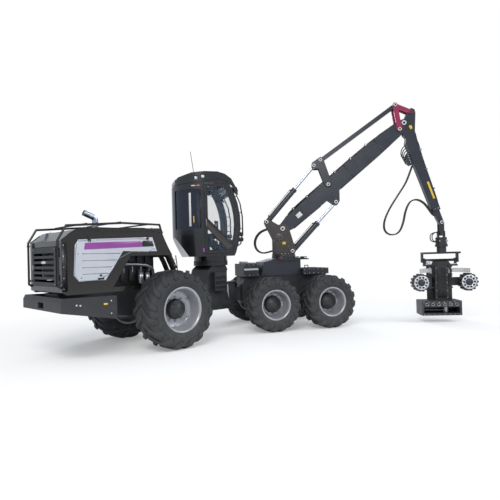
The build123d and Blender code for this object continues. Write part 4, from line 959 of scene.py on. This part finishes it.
def pillar_details():
    ribs = Piece("pillar_ribs", "pillar", "pillar", bevel=0.006)
    marks = Piece("pillar_label", "pillar", "yellow", bevel=0.001)
    bolts = Piece("pillar_bolts", "pillar", "steel")
    for s in (-1, 1):
        y = s * PILLAR_Y
        for outline in ([(-0.26, 1.93), (-0.22, 1.93), (-0.22, 2.28), (-0.26, 2.30)],
                        [(0.16, 1.93), (0.20, 1.93), (0.16, 2.13), (0.12, 2.13)]):
            ribs.plate(outline, y - s * 0.004, y + s * 0.030)
        eye_x, eye_z = PILLAR_EYE
        ribs.rod((eye_x, y - s * 0.01, eye_z), (eye_x, y + s * 0.012, eye_z), 0.10, sides=36)
        bolts.bolts([(eye_x + x, y + s * 0.010, eye_z + z) for x, z in around(8, 0.08)], (0, s, 0), 0.010)
        marks.plate([(-0.02, 2.16), (0.07, 2.16), (0.07, 2.23), (-0.02, 2.23)], y, y + s * 0.002)
    bolts.bolts([(x, y, 1.905) for x, y in around(18, SLEW_BOLTS_R) if abs(y) > 0.2], (0, 0, 1), 0.014, 0.014)
    ribs.rod((0, 0, 1.845), (0, 0, 1.865), 0.328, sides=64)


def boom_seams():
    seams = Piece("boom_seams", "boom", "slate", smooth=60)
    for s in (-1, 1):
        for outline in ([(0.25, 0.190), (1.5, 0.215), (3.6, 0.200), (4.22, 0.130)],
                        [(0.25, -0.190), (1.20, -0.213)], [(1.9, -0.215), (3.3, -0.215), (4.08, -0.190)]):
            seams.tube(on_member(BOOM_PIN, ELBOW, outline, s * BOOM_Y), 0.008, sides=8, loops=0)
        for u in (2.35, 3.40):
            seams.plate(patch(BOOM_PIN, ELBOW, (u, u + 0.02), (-0.205, 0.195)), s * 0.108, s * 0.115)


def boom_lines():
    """Pipes along the boom's top, with their clamps."""
    lines = Piece("boom_lines", "boom", "hose", smooth=60)
    clamps = Piece("boom_clamps", "boom", "steel", bevel=0.003)
    for lane in BOOM_LANES:
        rise = 0.012 if abs(lane) < 0.02 else 0.0
        path = [(0.30, 0.16), (0.42, 0.235 + rise), (1.5, 0.236 + rise), (3.45, 0.222 + rise), (3.70, 0.15)]
        lines.tube(on_member(BOOM_PIN, ELBOW, path, lane), 0.013, sides=10, loops=2)
    for u in (0.55, 1.05, 2.05, 2.6, 3.15):
        for w in ((0.205, 0.232), (0.258, 0.266)):
            clamps.plate(patch(BOOM_PIN, ELBOW, (u, u + 0.05), w), -0.098, 0.098)
        for y in (-0.092, 0.092):
            middle = ((u + 0.025, 0.22), (u + 0.025, 0.276))
            clamps.rod(*on_member(BOOM_PIN, ELBOW, middle, y), 0.007, sides=8)


def boom_foot_plates():
    foot = Piece("boom_foot_plates", "boom", "white", bevel=0.001)
    for s in (-1, 1):
        foot.plate(patch(BOOM_PIN, ELBOW, (0.50, 0.66), (-0.07, 0.05)), s * BOOM_Y, s * 0.112)


def cylinder_details(name, base, eye, radius, share):
    """Glands and pipe of a barrel that takes up the share of the way from its base pin to the rod's eye."""
    length = hypot(eye[0] - base[0], eye[1] - base[1])
    end = length * share
    rings = Piece(name + "_gland", name + "_barrel", "slate", bevel=0.002)
    pipe = Piece(name + "_pipe", name + "_barrel", "steel", smooth=50)

    def at(u, y=0.0, w=0.0):
        x, z = along(base, eye, u, w)
        return x, y, z

    for u0, u1, r in ((end - 0.085, end - 0.012, radius + 0.009), (0.10, 0.13, radius + 0.006),
                      (end - 0.30, end - 0.285, radius + 0.003)):
        rings.rod(at(u0), at(u1), r, sides=40)
    for u in (0.16, end - 0.11):
        rings.rod(at(u, 0.0, radius - 0.02), at(u, 0.0, radius + 0.028), 0.022)
    route = ((0.16, 0.0, 0.026), (0.22, 0.01, 0.026), (end * 0.55, 0.03, 0.022), (end - 0.20, 0.01, 0.026),
             (end - 0.11, 0.0, 0.026))
    pipe.tube([at(u, y, radius + w) for u, y, w in route], 0.010, sides=10)
    ahead = (Vector(at(1.0)) - Vector(at(0.0))).normalized()
    pipe.bolts([at(end - 0.010, y, w) for y, w in around(8, radius - 0.016)], ahead, 0.008, 0.010)


def stick_seams():
    seams = Piece("stick_seams", "stick", "slate", smooth=60)
    for s in (-1, 1):
        for outline in ([(0.36, 0.196), (0.9, 0.130), (STICK_LENGTH - 0.34, 0.090)],
                        [(0.36, -0.05), (0.52, -0.138), (STICK_LENGTH - 0.34, -0.110)]):
            seams.tube(on_member(ELBOW, TIP, outline, s * STICK_Y), 0.007, sides=8, loops=0)
        seams.plate(patch(ELBOW, TIP, (STICK_LENGTH - 0.42, STICK_LENGTH - 0.335), (-0.112, 0.092)),
                    s * 0.088, s * 0.096)


def stick_lines():
    """Pipes along the stick's back, and the short hoses under its valve block."""
    lines = Piece("stick_lines", "stick", "hose", smooth=60)
    for lane in STICK_LANES:
        path = [(0.50, 0.15), (0.62, 0.190), (0.95, 0.150), (1.7, 0.126), (STICK_LENGTH - 0.55, 0.112),
                (STICK_LENGTH - 0.40, 0.07)]
        lines.tube(on_member(ELBOW, TIP, path, lane), 0.013, sides=10)
    for k in range(4):
        u, y = 0.86 + 0.07 * k, 0.045 - 0.03 * k
        drop = ((0, -0.25), (0, -0.31), (0.10, -0.33), (0.26, -0.24), (0.30, -0.10))
        lines.tube(on_member(ELBOW, TIP, [(u - back, w) for back, w in drop], y), 0.014, sides=10)


def stick_fittings():
    """Valve caps, pipe clamps and the yellow labels."""
    bits = Piece("stick_valves", "stick", "steel", bevel=0.002)
    for k in range(5):
        u = 0.86 + 0.05 * k
        x, z = along(ELBOW, TIP, u, -0.19)
        for s in (-1, 1):
            bits.bolts([(x, s * 0.07, z)], (0, s, 0), 0.014, 0.014)
    for u in (0.8, 1.35, 1.9):
        outline = patch(ELBOW, TIP, (u, u + 0.04), (0.13, 0.20 if u < 1 else 0.165))
        bits.plate(outline, -0.078, 0.078)
    labels = Piece("stick_labels", "stick", "yellow", bevel=0.001)
    for s in (-1, 1):
        for u, w in (((0.12, 0.22), (0.10, 0.17)), ((1.70, 2.18), (0.015, 0.065))):
            labels.plate(patch(ELBOW, TIP, u, w), s * STICK_Y, s * (STICK_Y + 0.0015))


HOSE_R = 0.021
HOSE_LANES = (-0.174, -0.131, 0.131, 0.174)
HOSE_LOOP = [(-0.425, 2.600), (-0.560, 2.565), (-0.690, 2.465), (-0.775, 2.320), (-0.790, 2.160),
             (-0.730, 2.020), (-0.610, 1.945), (-0.470, 1.945), (-0.290, 2.000)]
LOOP_LANES = (-0.057, -0.019, 0.019, 0.057)
LOOP_R = 0.017
HEAD_LOOP = [(3.52, 4.18), (3.46, 4.02), (3.34, 3.72), (3.12, 3.40), (2.87, 3.02), (2.72, 2.68), (2.74, 2.42),
             (2.92, 2.32), (3.12, 2.38), (3.24, 2.64), (3.30, 2.96), (3.42, 3.22), (3.60, 3.28), (3.79, 3.18),
             (3.93, 2.98), (4.00, 2.86), (4.09, 2.80)]
SHORT_LANES = (-0.084, 0.084)
SHORT_R = 0.013
SHORT_HOSE = [(4.165, 2.365), (4.060, 2.370), (3.965, 2.320), (3.945, 2.220), (3.980, 2.130), (4.090, 2.105)]


def hose(name, points, radius, body):
    """A hose along one smooth curve with the points as its control points."""
    data = bpy.data.curves.new(name, "CURVE")
    data.dimensions = "3D"
    data.bevel_depth = radius
    data.bevel_resolution = 4
    data.resolution_u = 8
    data.use_fill_caps = True
    spline = data.splines.new("NURBS")
    spline.points.add(len(points) - 1)
    places = [CRANE @ Vector(point) for point in points]
    for point, place in zip(spline.points, places):
        point.co = (*place, 1)
    spline.order_u = 3
    spline.use_endpoint_u = True
    data.materials.append(MATERIALS["hose"])
    obj = bpy.data.objects.new(name, data)
    bpy.context.scene.collection.objects.link(obj)
    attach(obj, body)
    return obj


def bent_hose(name, route, y, radius):
    """A hose in the crane's plane at y, drawn as one tube through the points, on no body."""
    points = at_y(route, y)
    obj = Piece(name, None, "hose", smooth=60).tube(points, radius, loops=3).done()
    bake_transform(obj)
    path = [tuple(CRANE @ point) for point in rounded(points, 3)]


def hoses():
    for number, y in enumerate(HOSE_LANES, 1):
        obj = hose(f"pillar_hose_{number}", at_y(HOSE_LOOP, y), HOSE_R, "pillar")
        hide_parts("pillar_hoses")
    for number, y in enumerate(LOOP_LANES, 1):
        bent_hose(f"head_hose_{number}", HEAD_LOOP, y, LOOP_R)
    for number, y in enumerate(SHORT_LANES, 1):
        bent_hose(f"short_hose_{number}", SHORT_HOSE, y, SHORT_R)


# Harvester head

ROLLER_X = 0.605
ROLLER_Z = 1.040
TREAD_R = 0.229
KNIFE_PIN = (0.25, 0.2)     # x and y of the pin that a knife and a feed arm turn on
SAW_BOX_Y = -0.26           # front face of the saw's housing
SAW_HOLES_X = [-0.49 + 0.15 * k for k in range(6)]
SAW_HOLES_Z = 0.47
DISC_Y = (-0.233, -0.2302)              # faces of the plate in front of a feed roller
DISC_R = (0.088, 0.190)
DISC_HOLE_R = 0.026
DISC_HOLES_AT = 0.135
DISC_HOLES = 10


def holed_disc(piece):
    """A ring with a circle of round holes, made of two mirrored halves for each hole."""
    def polar(radius, angle):
        return radius * cos(angle), radius * sin(angle)

    for hole in range(DISC_HOLES):
        middle = 2 * pi * hole / DISC_HOLES
        centre = polar(DISC_HOLES_AT, middle)
        for side in (-1, 1):
            turns = [middle + side * pi / DISC_HOLES * k / 4 for k in range(5)]
            inner = [polar(DISC_R[0], a) for a in turns[::-1]]
            outer = [polar(DISC_R[1], a) for a in turns]
            around = [middle + pi - side * pi * k / 8 for k in range(9)]
            rim = [(centre[0] + DISC_HOLE_R * cos(a), centre[1] + DISC_HOLE_R * sin(a)) for a in around]
            rings = [[piece.mesh.verts.new((x, y, z)) for x, z in inner + rim + outer] for y in DISC_Y]
            for ring in rings:
                piece.mesh.faces.new(ring)
            for first, count in ((0, 5), (5, 9), (14, 5)):
                for k in range(first, first + count - 1):
                    piece.mesh.faces.new((rings[0][k], rings[0][k + 1], rings[1][k + 1], rings[1][k]))
    bmesh.ops.remove_doubles(piece.mesh, verts=piece.mesh.verts[:], dist=0.0005)


def rollers():
    for name, s in (("left", -1), ("right", 1)):
        place = HEAD @ Matrix.Translation((s * ROLLER_X, 0, ROLLER_Z))
        hub = Piece("roller_hub_" + name, "roller_" + name, "frame", place, smooth=32)
        hub.lathe([(-0.228, 0.0), (-0.228, 0.085), (-0.236, 0.085), (-0.240, 0.060), (-0.252, 0.055),
                   (-0.252, 0.0)],
                  sides=40)
        hub.bolts(at_y(around(6, 0.070), -0.234), (0, -1, 0), 0.009, 0.010)
        disc = Piece("roller_disc_" + name, "roller_" + name, "silver", place, smooth=20)
        holed_disc(disc)
        tread = Piece("roller_tread_" + name, "roller_" + name, "cast", place, smooth=20)
        for i in range(14):
            for j in range(8):
                angle = 2 * pi * i / 14
                y = -0.21 + 0.030 * j
                turn = Matrix.Rotation(-angle, 4, "Y")
                x, _, z = turn @ Vector((TREAD_R, 0, 0))
                tread.box((x - 0.005, x + 0.005), (y - 0.006, y + 0.006), (z - 0.026, z + 0.026), turn)


def head_shell():
    panels = Piece("head_panels", "head", "silver", bevel=0.004)
    for s in (-1, 1):
        for outline in (((0.19, 0.62), (0.31, 0.66), (0.31, 0.88), (0.19, 0.88)),
                        ((0.10, 1.24), (0.31, 1.24), (0.27, 1.42), (0.10, 1.42))):
            panels.plate([(s * x, z) for x, z in outline][::s], 0.298, 0.308)
        panels.box((s * 0.20, s * 0.40), (0.09, 0.23), (1.499, 1.520))
    block = Piece("head_block", "head", "white", bevel=0.006)
    block.box((-0.375, -0.265), (0.09, 0.22), (1.518, 1.605)).box((-0.36, -0.28), (0.07, 0.10), (1.53, 1.59))


def head_bolts():
    bits = Piece("head_bolts", "head", "steel")
    bits.bolts([(x, 0.06, z) for x in (-0.14, 0.14) for z in (0.62, 0.80, 1.02, 1.22, 1.40)], (0, -1, 0))
    bits.bolts([(-0.57 + 0.13 * k, SAW_BOX_Y, z) for k in range(8) for z in (0.21, 0.53)], (0, -1, 0), 0.011)
    for x in SAW_HOLES_X:
        bits.lathe([(-0.262, 0.028), (-0.268, 0.030), (-0.268, 0.040), (-0.262, 0.042)],
                   place=Matrix.Translation((x, 0, SAW_HOLES_Z)), sides=24, closed=True)
    for s in (-1, 1):
        for z, up in ((0.859, -1), (1.221, 1), (1.223, -1), (1.467, 1)):
            bits.bolts([(s * KNIFE_PIN[0], KNIFE_PIN[1], z)], (0, 0, up), 0.022, 0.008)


def head_covers():
    dark = Piece("head_covers", "head", "black", bevel=0.004)
    dark.box((-0.11, 0.11), (0.040, 0.062), (0.62, 1.40)).box((-0.085, 0.085), (0.028, 0.042), (0.72, 1.30))
    for k, x in enumerate(SAW_HOLES_X):
        dark.box((-0.075, 0.075), (0.020, 0.030), (0.76 + 0.09 * k, 0.80 + 0.09 * k))
        # Black discs inside the rings on the saw housing: painted shade standing for its holes.
        dark.rod((x, SAW_BOX_Y - 0.002, SAW_HOLES_Z), (x, SAW_BOX_Y + 0.0005, SAW_HOLES_Z), 0.030, sides=20)


def head_lines():
    lines = Piece("head_lines", "head", "hose", smooth=60)
    for k in range(6):
        x = -0.125 + 0.05 * k
        route = ((1, 0.12, 1.57), (1, 0.24, 1.60), (1, 0.325, 1.50), (1.2, 0.325, 1.20), (1.2, 0.322, 0.80),
                 (1, 0.31, 0.55))
        lines.tube([(x * spread, y, z) for spread, y, z in route], 0.014, sides=10)
    for s in (-1, 1):
        for k in range(2):
            x = s * (0.16 - 0.03 * k)
            lines.tube([(x, 0.08, 1.50 - 0.02 * k), (s * (0.20 + 0.05 * k), 0.04, 1.46),
                        (s * 0.24, 0.03, 1.20), (s * 0.21, 0.03, 1.16), (s * 0.168, 0.07, 1.14 - 0.04 * k)],
                       0.013, sides=10)


def rotator_details():
    rings = Piece("rotator_rings", "rotator_body", "frame", bevel=0.003)
    ports = Piece("rotator_ports", "rotator_body", "steel", bevel=0.002)
    for z0, z1, r in ((2.045, 2.075, 0.147), (2.19, 2.215, 0.146)):
        rings.rod((0, 0, z0), (0, 0, z1), r, sides=48)
    ports.bolts([(x, y, 2.229) for x, y in around(10, 0.118, 0.5)], (0, 0, 1), 0.011, 0.010)
    for x, y in around(6, 1.0):
        out = Vector((x, y, 0))
        a = Vector((0, 0, 2.13)) + out * 0.135
        ports.rod(a, a + out * 0.03, 0.020, sides=6).rod(a + out * 0.02, a + out * 0.045, 0.013)


def knife_details():
    for name, s in (("knife_l", -1), ("knife_r", 1)):
        edge = Piece(name + "_boss", name, "steel", bevel=0.002)
        x, y = s * KNIFE_PIN[0], KNIFE_PIN[1]
        for z in (1.262, 1.424):
            edge.rod((x, y, z), (x, y, z + 0.004), 0.058, sides=36)
        for x, y, radius in ((0.43, 0.10, 0.018), (0.50, 0.03, 0.014)):
            edge.rod((s * x, y, 1.398), (s * x, y, 1.404), radius)


def chain():
    teeth = Piece("saw_chain", "saw", "steel", smooth=20)
    for k in range(26):
        x = -0.535 + 0.02 * k
        for s in (-1, 1):
            teeth.box((x, x + 0.011), (s * 0.058, s * 0.066), (0.300, 0.312))
            if k % 2:
                teeth.box((x, x + 0.008), (s * 0.064, s * 0.071), (0.300, 0.305))


# Camera, floor and light

CAMERA_AT = (-2.953, -11.626, 1.873)    # from the articulation pivot on the ground
CAMERA_YAW = radians(16.707)            # to the right of +Y
CAMERA_PITCH = radians(0.756)           # upwards
CAMERA_ROLL = radians(-1.577)
LENS = 32.4


def camera():
    right = Vector((cos(CAMERA_YAW), -sin(CAMERA_YAW), 0))
    depth = Vector((sin(CAMERA_YAW), cos(CAMERA_YAW), 0))
    ahead = depth * cos(CAMERA_PITCH) + Vector((0, 0, sin(CAMERA_PITCH)))
    up = right.cross(ahead)
    x_axis = right * cos(CAMERA_ROLL) + up * sin(CAMERA_ROLL)
    y_axis = up * cos(CAMERA_ROLL) - right * sin(CAMERA_ROLL)
    data = bpy.data.cameras.new("camera")
    data.lens = LENS
    data.sensor_width = 36
    obj = bpy.data.objects.new("camera", data)
    spot = pivot + Vector(CAMERA_AT)
    obj.matrix_world = Matrix(((x_axis.x, y_axis.x, -ahead.x, spot.x), (x_axis.y, y_axis.y, -ahead.y, spot.y),
                               (x_axis.z, y_axis.z, -ahead.z, spot.z), (0, 0, 0, 1)))
    bpy.context.scene.collection.objects.link(obj)
    bpy.context.scene.camera = obj


FADE = (4.5, 9.0)           # metres from the middle over which the floor turns plain white
FADE_START = 0.25           # share of plain white before that
FLOOR = 60.0                # half its width
FLOOR_COLOUR = (0.93, 0.93, 0.93, 1)
SKY_COLOUR = (0.86, 0.92, 1.0, 1)
SKY_STRENGTH = 0.62
LIT_AT = Vector((0, 0, 1.5))
LIGHTS = [
    # name, place, energy, size, colour
    ("key", (-6, -12, 11), 1500, 7, (1.0, 0.98, 0.95)),
    ("side", (12, -6, 9), 700, 6, (0.95, 0.97, 1.0)),
    ("rim", (2, 12, 9), 500, 6, (1.0, 1.0, 1.0)),
]


def seen_by_camera(tree):
    return add_node(tree, "LightPath").outputs["Is Camera Ray"]


def mix_shaders(tree, factor, a, b, output):
    """Puts the mix of two shaders on the tree's output."""
    mixed = add_node(tree, "MixShader", {"Fac": factor, 1: a, 2: b})
    set_inputs(tree, tree.nodes[output], {"Surface": mixed.outputs["Shader"]})


def add_floor():
    mesh = bpy.data.meshes.new("floor")
    corners = ((-1, -1), (1, -1), (1, 1), (-1, 1))
    mesh.from_pydata([(x * FLOOR, y * FLOOR, 0) for x, y in corners], [], [(0, 1, 2, 3)])
    floor = bpy.data.objects.new("floor", mesh)
    bpy.context.scene.collection.objects.link(floor)
    mat, tree, shader = new_material("floor")
    set_inputs(tree, shader, {"Base Color": FLOOR_COLOUR, "Roughness": 0.9})
    place = add_node(tree, "TexCoord").outputs["Object"]
    reach = add_node(tree, "VectorMath", {0: place}, operation="LENGTH").outputs["Value"]
    fade = map_range(tree, reach, *FADE, FADE_START, 1.0)
    share = add_node(tree, "Math", {0: seen_by_camera(tree), 1: fade}, operation="MULTIPLY")
    white = add_node(tree, "Emission")
    mix_shaders(tree, share.outputs["Value"], shader.outputs["BSDF"], white.outputs["Emission"],
                "Material Output")
    mesh.materials.append(mat)


def add_sky():
    """A pale sky for the light, and plain white where the camera sees it."""
    world = bpy.data.worlds.new("world")
    bpy.context.scene.world = world
    world.use_nodes = True
    tree = world.node_tree
    sky = tree.nodes["Background"]
    set_inputs(tree, sky, {"Color": SKY_COLOUR, "Strength": SKY_STRENGTH})
    plain = add_node(tree, "Background", {"Color": (1, 1, 1, 1)})
    mix_shaders(tree, seen_by_camera(tree), sky.outputs["Background"], plain.outputs["Background"],
                "World Output")


def add_lights():
    for name, spot, energy, size, colour in LIGHTS:
        data = bpy.data.lights.new(name, "AREA")
        data.energy = energy
        data.size = size
        data.color = colour
        lamp = bpy.data.objects.new(name, data)
        lamp.location = spot
        lamp.rotation_euler = (LIT_AT - Vector(spot)).to_track_quat("-Z", "Y").to_euler()
        bpy.context.scene.collection.objects.link(lamp)


for draw in (
    paint_nodes, wheels, hood, hatches, engine_bay, exhaust, rail_clamps, bumper_details, pedestal_details,
    radiator_door_details, seat, console, windows, wiper_arm, cab_lamps, cab_strips, door_details,
    roof_details, valve_box, deck_tread, front_bolts, platform_caps, pin_caps, pillar_details, boom_seams,
    boom_lines,
    boom_foot_plates, stick_seams, stick_lines, stick_fittings, hoses, rollers, head_shell, head_bolts,
    head_covers, head_lines, rotator_details, knife_details, chain,
):
    draw()
cylinder_details("lift", LIFT_BASE, LIFT_EYE, 0.075, 0.59)
cylinder_details("fold", BACK_PIN, ROCKER_CYLINDER, 0.070, 0.60)
for piece in Piece.drawn[:]:
    piece.done()
camera()
add_floor()
add_sky()
add_lights()
bpy.context.scene.view_settings.view_transform = "Standard"
